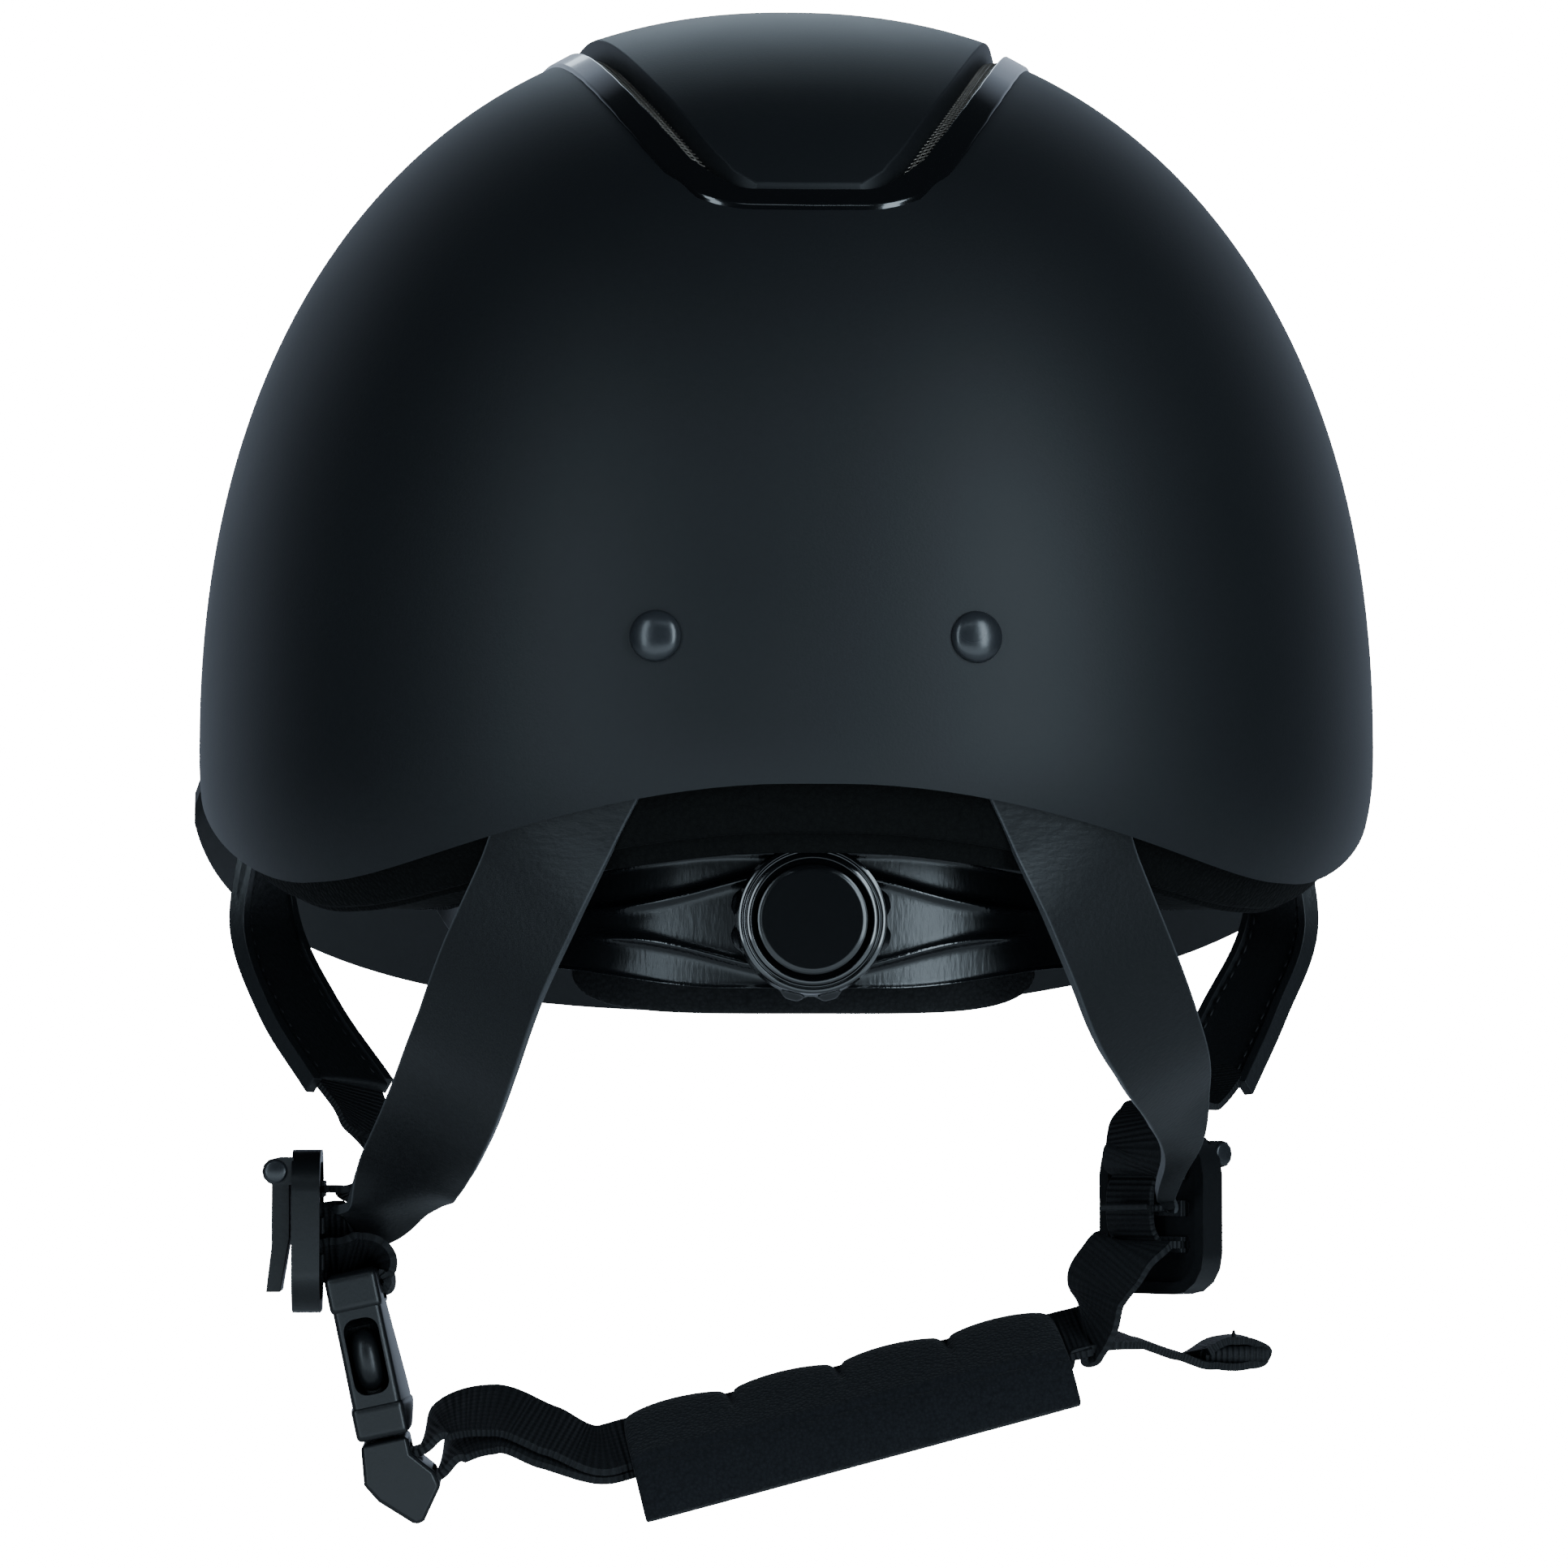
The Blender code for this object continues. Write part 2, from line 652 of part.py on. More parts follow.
def make_comfort_lining():
    outer = SHELL_WALL + LINER_GAP + LINER_WALL + SEAT_GAP
    comfort = dome_shell("comfort_lining", outer, outer + COMFORT_WALL, liner_rim, LINING)
    facets = round(BROW_HALF_ANGLE / 180.0 * DOME_SEGMENTS)
    bm = bmesh.new()
    bmesh.ops.create_grid(bm, x_segments=facets, y_segments=3, size=1.0)
    brow_outer = outer + COMFORT_WALL + 2 * SLIDE_GAP
    for vert in bm.verts:
        turn = 180.0 + vert.co.x * BROW_HALF_ANGLE
        taper = 1.0 - 0.35 * vert.co.x ** 4
        foot = liner_rim(turn) + BROW_LIFT
        height = foot + BROW_HEIGHT * (0.5 + 0.5 * vert.co.y * taper)
        vert.co = surface_at(turn, height, brow_outer)
    brow = bmesh_object("brow_pad", bm, LINING)
    thicken_inward(brow, BROW_WALL, 0.0)
    return comfort


def make_peak():
    """A brim whose root follows the shell and whose edge is a wider superellipse that dips in front."""
    half = SHELL_HALF_WIDTH + PEAK_OVERHANG
    reach = SHELL_FRONT + PEAK_PROJECTION - PEAK_CENTRE
    bm = bmesh.new()
    bmesh.ops.create_grid(bm, x_segments=32, y_segments=4, size=1.0)
    for vert in bm.verts:
        angle = (vert.co.x + 1.0) / 2.0 * math.pi
        out = (vert.co.y + 1.0) / 2.0
        cosine = math.cos(angle)
        edge_x = half * math.copysign(abs(cosine) ** (2.0 / PEAK_POWER), cosine)
        edge_y = PEAK_CENTRE + reach * max(0.0, math.sin(angle)) ** (2.0 / PEAK_POWER)
        dip = max(0.0, (edge_y - PEAK_DROP_START) / (PEAK_CENTRE + reach - PEAK_DROP_START))
        edge_z = SIDE_RIM - PEAK_SIDE_DROP - PEAK_FRONT_DROP * dip ** PEAK_DROP_POWER
        turn = math.degrees(math.atan2(edge_x, -edge_y))
        root = surface_at(turn, SIDE_RIM + PEAK_ROOT_LIFT, -SLIDE_GAP)
        flat = root.lerp(Vector((edge_x, edge_y, edge_z)), out)
        crown = 4.0 * out * (1.0 - out) * 0.08 * (edge_z - root.z)
        vert.co = flat - Vector((0.0, 0.0, crown))
    lower = bmesh.ops.extrude_face_region(bm, geom=bm.faces[:])["geom"]
    bmesh.ops.translate(bm, vec=(0.0, 0.0, -PEAK_WALL),
                        verts=[item for item in lower if isinstance(item, bmesh.types.BMVert)])
    bmesh_object("peak", bm, MATT_SHELL)


# Harness anchors

def make_rivet(name, turn, height, shell):
    """A turned rivet through the shell and a strap, with its tail in the foam."""
    inner = STRAP_INSET + COVER_WALL / 2 + SEAT_GAP
    tail = inner + RIVET_TAIL_WALL
    head = SEAT_GAP
    dome = [(RIVET_HEAD_RADIUS * math.sin(math.radians(a)),
             head + RIVET_HEAD_HEIGHT * math.cos(math.radians(a))) for a in range(0, 91, 30)]
    profile = dome + [(RIVET_HEAD_RADIUS * 0.97, head), (RIVET_SHANK_RADIUS, head),
                      (RIVET_SHANK_RADIUS, -inner), (RIVET_TAIL_RADIUS, -inner),
                      (RIVET_TAIL_RADIUS, -tail), (0.0, -tail)]
    placing = along_axis(surface_axes(turn, height)[1], surface_at(turn, height, 0.0))
    rivet = turned_object(name, profile, RIVET_PAINT, 16)
    rivet.matrix_world = placing
    bore = cylinder(name + "_bore", RIVET_SHANK_RADIUS + SEAT_GAP, 0.03, None, 16)
    bore.matrix_world = placing
    boolean(shell, bore)
    return bore


def pocket_for(name, route, liner):
    """Cuts a strap's upper run and its rivet's tail out of the foam, open to the shell."""
    top = Vector(route[0][0])
    above = top + (top - Vector(route[1][0])).normalized() * 2 * SLIDE_GAP
    room = ribbon(name + "_pocket", [(above, route[0][1])] + route, STRAP_WIDTH + 4 * SLIDE_GAP,
                  2 * (STRAP_INSET - SHELL_WALL + SLIDE_GAP))
    boolean(liner, room)


def rear_top(side):
    """The stops of a rear strap inside the shell, from above its rivet to below the rim."""
    return [strap_stop(side * turn, height, side * REAR_STRAP_LEAN, -side)
            for turn, height in ((REAR_RIVET_TURN - 2.0, REAR_RIVET_HEIGHT + 0.007),
                                 (REAR_RIVET_TURN, REAR_RIVET_HEIGHT), (16.8, 0.022), (21.2, 0.008))]


def front_top(side):
    """The stops of a front strap inside the shell, from above its rivet to below the rim."""
    return [strap_stop(side * turn, height, 0.0, side)
            for turn, height in ((FRONT_RIVET_TURN - 0.5, FRONT_RIVET_HEIGHT + 0.008),
                                 (FRONT_RIVET_TURN, FRONT_RIVET_HEIGHT), (113.5, 0.032), (114.0, 0.014))]


def divider_matrix(place, turn):
    return Matrix.Translation(place) @ Matrix.Rotation(math.radians(turn), 4, 'Z')


LEFT_FRAME = divider_matrix(LEFT_DIVIDER, LEFT_DIVIDER_TURN)
RIGHT_FRAME = divider_matrix(RIGHT_DIVIDER, RIGHT_DIVIDER_TURN)


def slot_level(order):
    """Height of a divider's slot above its middle: 0 front strap, 1 rear strap, 2 chin strap."""
    return DIVIDER_SLOT_LIFT + DIVIDER_SLOT_SPACING * (1 - order)


def slot_stops(frame, order, approach):
    """The last stops of a strap that enters a divider's slot from its inner face."""
    level = slot_level(order)
    side = frame.to_3x3() @ Vector((0.0, 1.0, 0.0))
    places = [-DIVIDER_WALL / 2 - approach, -DIVIDER_WALL / 2 - approach / 2, -DIVIDER_WALL / 2,
              DIVIDER_WALL / 2 - SEAT_GAP]
    return [(frame @ Vector((place, 0.0, level)), side) for place in places]


def flipped(stops):
    return [(place, -Vector(side)) for place, side in stops]


LEFT_REAR_RUN = [((-0.0458, -0.1020, -0.0020), (0.82, -0.40, -0.40)),
                 ((-0.0518, -0.0940, -0.0150), (0.80, -0.42, -0.42)),
                 ((-0.0566, -0.0790, -0.0280), (0.80, -0.40, -0.45)),
                 ((-0.0617, -0.0480, -0.0402), (0.78, -0.10, -0.60)),
                 ((-0.0665, -0.0210, -0.0490), (0.62, 0.55, -0.55)),
                 ((-0.0712, -0.0060, -0.0560), (0.15, 0.95, -0.30))]
RIGHT_REAR_RUN = [((0.0460, -0.1020, -0.0020), (-0.82, -0.40, -0.40)),
                  ((0.0521, -0.0940, -0.0150), (-0.80, -0.42, -0.42)),
                  ((0.0582, -0.0790, -0.0280), (-0.80, -0.40, -0.45)),
                  ((0.0630, -0.0500, -0.0402), (-0.80, -0.15, -0.58)),
                  ((0.0625, -0.0270, -0.0490), (-0.85, 0.20, -0.45)),
                  ((0.0590, -0.0130, -0.0548), (-0.75, 0.60, -0.20))]
LEFT_FRONT_RUN = [((-0.0950, 0.0420, -0.0040), (0.50, 0.86, 0.05)),
                  ((-0.0885, 0.0320, -0.0193), (0.62, 0.78, 0.05)),
                  ((-0.0785, 0.0180, -0.0340), (0.70, 0.70, 0.0))]
RIGHT_FRONT_RUN = [((0.0950, 0.0420, -0.0040), (-0.50, 0.86, 0.05)),
                   ((0.0870, 0.0310, -0.0200), (-0.62, 0.78, 0.05)),
                   ((0.0784, 0.0180, -0.0345), (-0.70, 0.70, 0.0))]
LEFT_FRONT_WEB = [((-0.0748, 0.0100, -0.0430), (0.55, 0.80, -0.20)),
                  ((-0.0742, 0.0030, -0.0500), (0.12, 0.98, -0.10))]
RIGHT_FRONT_WEB = [((0.0720, 0.0090, -0.0392), (-0.67, 0.74, 0.0)),
                   ((0.0640, -0.0010, -0.0398), (-0.64, 0.77, 0.0)),
                   ((0.0592, -0.0068, -0.0430), (-0.64, 0.77, 0.0)),
                   ((0.0585, -0.0080, -0.0478), (-0.64, 0.77, 0.0))]


def make_harness(shell, liner):
    for side, tag, run, frame, flip in ((-1.0, "left", LEFT_REAR_RUN, LEFT_FRAME, True),
                                        (1.0, "right", RIGHT_REAR_RUN, RIGHT_FRAME, False)):
        top = rear_top(side)
        ends = slot_stops(frame, 1, 0.0050)
        route = top + run + (flipped(ends) if flip else ends)
        strap = ribbon("rear_strap_" + tag, route, STRAP_WIDTH, STRAP_WALL, STRAP_LEATHER,
                       WEBBING_WIDTH)
        pocket_for("rear_strap_" + tag, top + run[:2], liner)
        boolean(strap, make_rivet("rear_rivet_" + tag, side * REAR_RIVET_TURN, REAR_RIVET_HEIGHT,
                                  shell))
    for side, tag, run, web, frame, flip in (
            (-1.0, "left", LEFT_FRONT_RUN, LEFT_FRONT_WEB, LEFT_FRAME, True),
            (1.0, "right", RIGHT_FRONT_RUN, RIGHT_FRONT_WEB, RIGHT_FRAME, False)):
        top = front_top(side)
        route = top + run
        cover = ribbon("front_strap_cover_" + tag, route, STRAP_WIDTH, COVER_WALL, STRAP_LEATHER,
                       WEBBING_WIDTH)
        pocket_for("front_strap_" + tag, top + run[:1], liner)
        boolean(cover, make_rivet("front_rivet_" + tag, side * FRONT_RIVET_TURN,
                                  FRONT_RIVET_HEIGHT, shell))
        ends = slot_stops(frame, 0, 0.0040)
        tip = Vector(run[-1][0])
        start = tip + (tip - Vector(run[-2][0])).normalized() * WEBBING_GAP
        ribbon("front_webbing_" + tag,
               [(start, run[-1][1])] + web + (flipped(ends) if flip else ends),
               WEBBING_WIDTH, WEBBING_WALL, WEBBING)


# Nape cradle

def arc_point(angle, radius, height):
    """A point on an arc about the cradle's vertical axis, at an angle from the rear."""
    turn = math.radians(angle)
    return Vector((radius * math.sin(turn), CRADLE_CENTRE_Y - radius * math.cos(turn), height))


def arc_band(name, span, outer, wall, edges, finish, columns=28):
    """A curved strip: edges gives the heights and the outward rises of its rows at an angle."""
    rows = len(edges(0.0))
    bm = bmesh.new()
    bmesh.ops.create_grid(bm, x_segments=columns, y_segments=rows - 1, size=1.0)
    for vert in bm.verts:
        angle = vert.co.x * span
        row = round((vert.co.y + 1.0) / 2.0 * (rows - 1))
        height, rise = edges(angle)[row]
        vert.co = arc_point(angle, outer + rise, height)
    band = bmesh_object(name, bm, finish)
    thicken_inward(band, wall, CRADLE_CENTRE_Y)
    return band


def cradle_edges(angle):
    """Rows of the cradle's outer face from its lower to its upper edge, with two flared ribs."""
    share = abs(angle) / CRADLE_SPAN
    half = (CRADLE_HEIGHT + (CRADLE_END_HEIGHT - CRADLE_HEIGHT) * smoothstep(0.25, 0.95, share)) / 2
    half *= math.sqrt(max(0.05, 1.0 - max(0.0, (share - 0.9) / 0.1) ** 2 * 0.6))
    rib = half * (0.30 + 0.46 * math.exp(-(angle / 15.0) ** 2))
    rise = RIB_RISE * (1.0 - smoothstep(0.75, 0.98, share))
    mid = CRADLE_LEVEL
    return [(mid - half, 0.0), (mid - rib - RIB_WIDTH, 0.0), (mid - rib, rise),
            (mid + rib, rise), (mid + rib + RIB_WIDTH, 0.0), (mid + half, 0.0)]


RACK_OUTER = CRADLE_RADIUS - CRADLE_WALL - SLIDE_GAP
RACK_MIDDLE = RACK_OUTER - RACK_WALL / 2
COVER_OUTER = RACK_OUTER - RACK_WALL - SLIDE_GAP
PAD_OUTER = COVER_OUTER - COVER_PLATE_WALL - SEAT_GAP
TOOTH_PITCH = 2 * math.pi * PINION_RADIUS / PINION_TEETH


def plain_rows(low, high):
    return lambda angle: [(low, 0.0), (high, 0.0)]


def pad_rows(angle):
    """The nape pad's lower edge rises and its upper edge falls towards its rounded ends."""
    share = abs(angle) / PAD_SPAN
    draw = 1.0 - math.sqrt(max(0.0, 1.0 - share ** 4))
    reach = (PAD_TOP - PAD_BOTTOM) * 0.28
    return [(PAD_BOTTOM + reach * draw, 0.0), (CRADLE_LEVEL, 0.0), (PAD_TOP - reach * draw, 0.0)]


def make_rack_band(tag, side, upper):
    """A headband arm: a toothed strip at the dial that widens and climbs to its temple slot."""
    to_angle = math.degrees(1.0 / RACK_MIDDLE)
    columns = []
    pitch_angle = TOOTH_PITCH * to_angle
    columns.append((-RACK_TIP_ANGLE, 0.0))
    first = -int(RACK_TIP_ANGLE / pitch_angle - 0.6)
    last = int(ARM_START / pitch_angle - 1.2)
    wide = TOOTH_SHARE - TOOTH_TIP_SHARE / 2
    narrow = TOOTH_TIP_SHARE / 2
    for tooth in range(first - 1, last):
        middle = tooth + 0.5
        for offset, depth in ((-wide, 0.0), (-narrow, 1.0), (narrow, 1.0), (wide, 0.0)):
            angle = (middle + offset) * pitch_angle
            if angle > -RACK_TIP_ANGLE + 0.2:
                columns.append((angle, depth))
    columns += [(ARM_START, 0.0), (ARM_START + 3.0, 0.0), (ARM_START + 6.0, 0.0),
                (ARM_START + 12.0, 0.0), (ARM_START + 18.0, 0.0)]
    bends = 14
    columns += [(step / bends, -1.0) for step in range(bends + 1)]
    level = CRADLE_LEVEL - ARM_DROP
    leave = arc_point(ARM_LEAVES_ARC, RACK_OUTER, level)
    temple = Vector((ARM_HALF_SPACING, PIVOT_Y, PIVOT_HEIGHT))
    reach = temple - leave
    path = [leave + Vector((reach.x * spread, reach.y * ahead, reach.z * climb))
            for spread, ahead, climb in ((0.0, 0.0, 0.0), (0.210, 0.193, 0.0), (0.398, 0.403, 0.15),
                                         (0.648, 0.561, 0.50), (0.897, 0.666, 0.86), (1.0, 0.772, 1.0))]
    path += [temple, Vector((temple.x, ARM_END_Y, temple.z))]

    root = PINION_RADIUS + TOOTH_DEDENDUM
    tip = PINION_RADIUS - TOOTH_ADDENDUM
    sign = 1.0 if upper else -1.0
    bm = bmesh.new()
    bmesh.ops.create_grid(bm, x_segments=len(columns) - 1, y_segments=1, size=1.0)
    for vert in bm.verts:
        index = round((vert.co.x + 1.0) / 2.0 * (len(columns) - 1))
        angle, depth = columns[index]
        far = vert.co.y > 0
        if depth < 0.0:
            place = blend_points(path, angle)
            widen = 1.0
        else:
            widen = smoothstep(ARM_START, ARM_START + 6.0, angle)
            place = arc_point(angle, RACK_OUTER, CRADLE_LEVEL - ARM_DROP * widen)
        rack_near = sign * (root + (tip - root) * max(0.0, depth))
        rack_far = sign * (root + RACK_BODY)
        near = rack_near + (-sign * ARM_HEIGHT / 2 - rack_near) * widen
        outer = rack_far + (sign * ARM_HEIGHT / 2 - rack_far) * widen
        place.z += outer if far else near
        vert.co = Vector((side * place.x, place.y, place.z))
    band = bmesh_object(tag + "_rack_band", bm, SATIN_PLASTIC)
    thicken_inward(band, RACK_WALL, CRADLE_CENTRE_Y)

    radius = PIVOT_PIN_RADIUS + SLIDE_GAP
    reach = PIVOT_SLOT_TRAVEL + radius
    loop = rounded_loop([(-reach, -radius), (reach, -radius), (reach, radius), (-reach, radius)],
                        radius * 0.98, 4)
    slot = outline_object(tag + "_band_slot", [loop], 0.03)
    slot.matrix_world = Matrix.Translation((side * temple.x, temple.y, temple.z)) @ ON_EDGE
    boolean(band, slot)
    return band


def make_pivot_pins(liner, comfort):
    """Temple pins from the foam liner through the slots of the headband arms."""
    turn = math.degrees(math.atan2(1.0, PIVOT_Y / -SHELL_HALF_WIDTH))
    wall_inner = abs(surface_at(turn, PIVOT_HEIGHT, SHELL_WALL + LINER_GAP + LINER_WALL).x)
    end = wall_inner + PIVOT_PIN_BITE
    for side, tag in ((-1.0, "left"), (1.0, "right")):
        profile = [(0.0, end), (PIVOT_PIN_RADIUS, end), (PIVOT_PIN_RADIUS, PIVOT_PIN_INNER),
                   (PIVOT_PIN_HEAD_RADIUS, PIVOT_PIN_INNER),
                   (PIVOT_PIN_HEAD_RADIUS, PIVOT_PIN_INNER - PIVOT_PIN_HEAD_WALL),
                   (0.0, PIVOT_PIN_INNER - PIVOT_PIN_HEAD_WALL)]
        pin = turned_object("pivot_pin_" + tag, profile, STEEL, 20)
        pin.matrix_world = along_axis((side, 0.0, 0.0), (0.0, PIVOT_Y, PIVOT_HEIGHT))
        length = end + SEAT_GAP - PIVOT_PIN_INNER
        bore = cylinder("pivot_bore_" + tag, PIVOT_PIN_RADIUS + SEAT_GAP, length, None, 20)
        middle = PIVOT_PIN_INNER + length / 2
        bore.matrix_world = along_axis((side, 0.0, 0.0), (side * middle, PIVOT_Y, PIVOT_HEIGHT))
        boolean(liner, bore)
        boolean(comfort, bore)


def gear_loop():
    """The pinion's outline: straight-flanked teeth, one of them pointing along +Y."""
    points = []
    tip = PINION_RADIUS + TOOTH_ADDENDUM
    root = PINION_RADIUS - TOOTH_DEDENDUM
    pitch = 2 * math.pi / PINION_TEETH
    wide = TOOTH_SHARE - TOOTH_TIP_SHARE / 2
    narrow = TOOTH_TIP_SHARE / 2
    for tooth in range(PINION_TEETH):
        middle = math.pi / 2 - tooth * pitch
        for offset, radius in ((wide, root), (narrow, tip), (-narrow, tip), (-wide, root)):
            angle = middle + offset * pitch
            points.append((radius * math.cos(angle), radius * math.sin(angle)))
    return points


def dial_matrix(radius):
    """Local Z along the dial's axis, towards the rear, at a radius from the cradle's axis."""
    turn = Matrix.Rotation(math.radians(90), 4, 'X')
    return Matrix.Translation((0.0, CRADLE_CENTRE_Y - radius, CRADLE_LEVEL)) @ turn


def make_cradle():
    cradle = arc_band("nape_cradle", CRADLE_SPAN, CRADLE_RADIUS, CRADLE_WALL, cradle_edges,
                      SATIN_PLASTIC, 26)
    shaft_bore = cylinder("dial_bore", DIAL_SHAFT_RADIUS + SLIDE_GAP, 0.02, None, 20)
    shaft_bore.matrix_world = dial_matrix(CRADLE_RADIUS)
    boolean(cradle, shaft_bore)

    level = COVER_PLATE_HEIGHT / 2
    cover = arc_band("dial_back_cover", COVER_PLATE_SPAN, COVER_OUTER, COVER_PLATE_WALL,
                     plain_rows(CRADLE_LEVEL - level, CRADLE_LEVEL + level), SATIN_PLASTIC, 16)
    stub_bore = cylinder("dial_stub_bore", DIAL_STUB_RADIUS + SLIDE_GAP, COVER_PLATE_WALL * 4, None, 16)
    stub_bore.matrix_world = dial_matrix(COVER_OUTER)
    boolean(cover, stub_bore)

    pad = arc_band("nape_pad", PAD_SPAN, PAD_OUTER, PAD_WALL, pad_rows, LINING, 18)
    round_edges(pad, PAD_WALL * 0.3, 1)

    head_inner = COVER_OUTER - COVER_PLATE_WALL
    for side, tag in ((-1.0, "left"), (1.0, "right")):
        angle = side * COVER_SCREW_ANGLE
        outward = arc_point(angle, 1.0, 0.0) - arc_point(angle, 0.0, 0.0)
        foot = arc_point(angle, head_inner, CRADLE_LEVEL)
        end = CRADLE_RADIUS - CRADLE_WALL - head_inner + COVER_SCREW_BITE
        profile = [(0.0, end), (COVER_SCREW_RADIUS, end),
                   (COVER_SCREW_RADIUS, COVER_SCREW_HEAD_WALL),
                   (COVER_SCREW_HEAD_RADIUS, COVER_SCREW_HEAD_WALL),
                   (COVER_SCREW_HEAD_RADIUS, 0.0), (0.0, 0.0)]
        screw = turned_object("cover_screw_" + tag, profile, STEEL, 16)
        screw.matrix_world = along_axis(outward, foot)
        bore = cylinder("cover_screw_bore_" + tag, COVER_SCREW_RADIUS + SEAT_GAP,
                        end + SEAT_GAP, None, 16)
        bore.matrix_world = along_axis(outward, foot + outward * (end + SEAT_GAP) / 2)
        sink = COVER_SCREW_HEAD_WALL + SEAT_GAP
        counter = cylinder("cover_screw_sink_" + tag, COVER_SCREW_HEAD_RADIUS + SEAT_GAP,
                           sink * 2, None, 16)
        counter.matrix_world = along_axis(outward, foot)
        boolean(cradle, bore)
        boolean(cover, bore)
        boolean(cover, counter)


def make_dial():
    back = CRADLE_RADIUS + RIB_RISE + SLIDE_GAP
    lobes = []
    count = DIAL_LOBES * 6
    for index in range(count):
        angle = 2 * math.pi * index / count
        radius = DIAL_RADIUS - DIAL_LOBE_DEPTH * (0.5 - 0.5 * math.cos(DIAL_LOBES * angle)) ** 2
        lobes.append((radius * math.cos(angle), radius * math.sin(angle)))
    knob = outline_object("dial_knob", [lobes], DIAL_DEPTH, SATIN_PLASTIC)
    knob.matrix_world = dial_matrix(back + DIAL_DEPTH / 2)
    round_edges(knob, DIAL_LOBE_DEPTH / 2, 1)
    front = back + DIAL_DEPTH
    recess = cylinder("dial_recess", DIAL_CAP_RADIUS + SEAT_GAP, 2 * DIAL_CAP_WALL, None, 40)
    recess.matrix_world = dial_matrix(front)
    boolean(knob, recess)
    bore = cylinder("dial_knob_bore", DIAL_SHAFT_RADIUS + SEAT_GAP, 3 * DIAL_DEPTH, None, 20)
    bore.matrix_world = dial_matrix(back)
    boolean(knob, bore)

    seat = front - DIAL_CAP_WALL + SEAT_GAP
    rim = DIAL_CAP_RADIUS
    cap = turned_object("dial_cap", [(0.0, DIAL_CAP_WALL * 0.7), (rim * 0.93, DIAL_CAP_WALL * 0.7),
                                     (rim, DIAL_CAP_WALL * 0.5), (rim, 0.0), (0.0, 0.0)],
                        SATIN_PLASTIC, 40)
    cap.matrix_world = dial_matrix(seat)

    gear = outline_object("dial_pinion", [gear_loop()], RACK_WALL, SATIN_PLASTIC)
    gear.matrix_world = dial_matrix(RACK_MIDDLE)
    shaft_end = seat - SEAT_GAP
    shaft = cylinder("dial_shaft", DIAL_SHAFT_RADIUS, shaft_end - RACK_MIDDLE, None, 20)
    shaft.matrix_world = dial_matrix((shaft_end + RACK_MIDDLE) / 2)
    stub_end = COVER_OUTER - COVER_PLATE_WALL + SEAT_GAP
    stub = cylinder("dial_stub", DIAL_STUB_RADIUS, RACK_MIDDLE - stub_end, None, 16)
    stub.matrix_world = dial_matrix((RACK_MIDDLE + stub_end) / 2)
    boolean(gear, shaft, 'UNION')
    boolean(gear, stub, 'UNION')


# Strap dividers

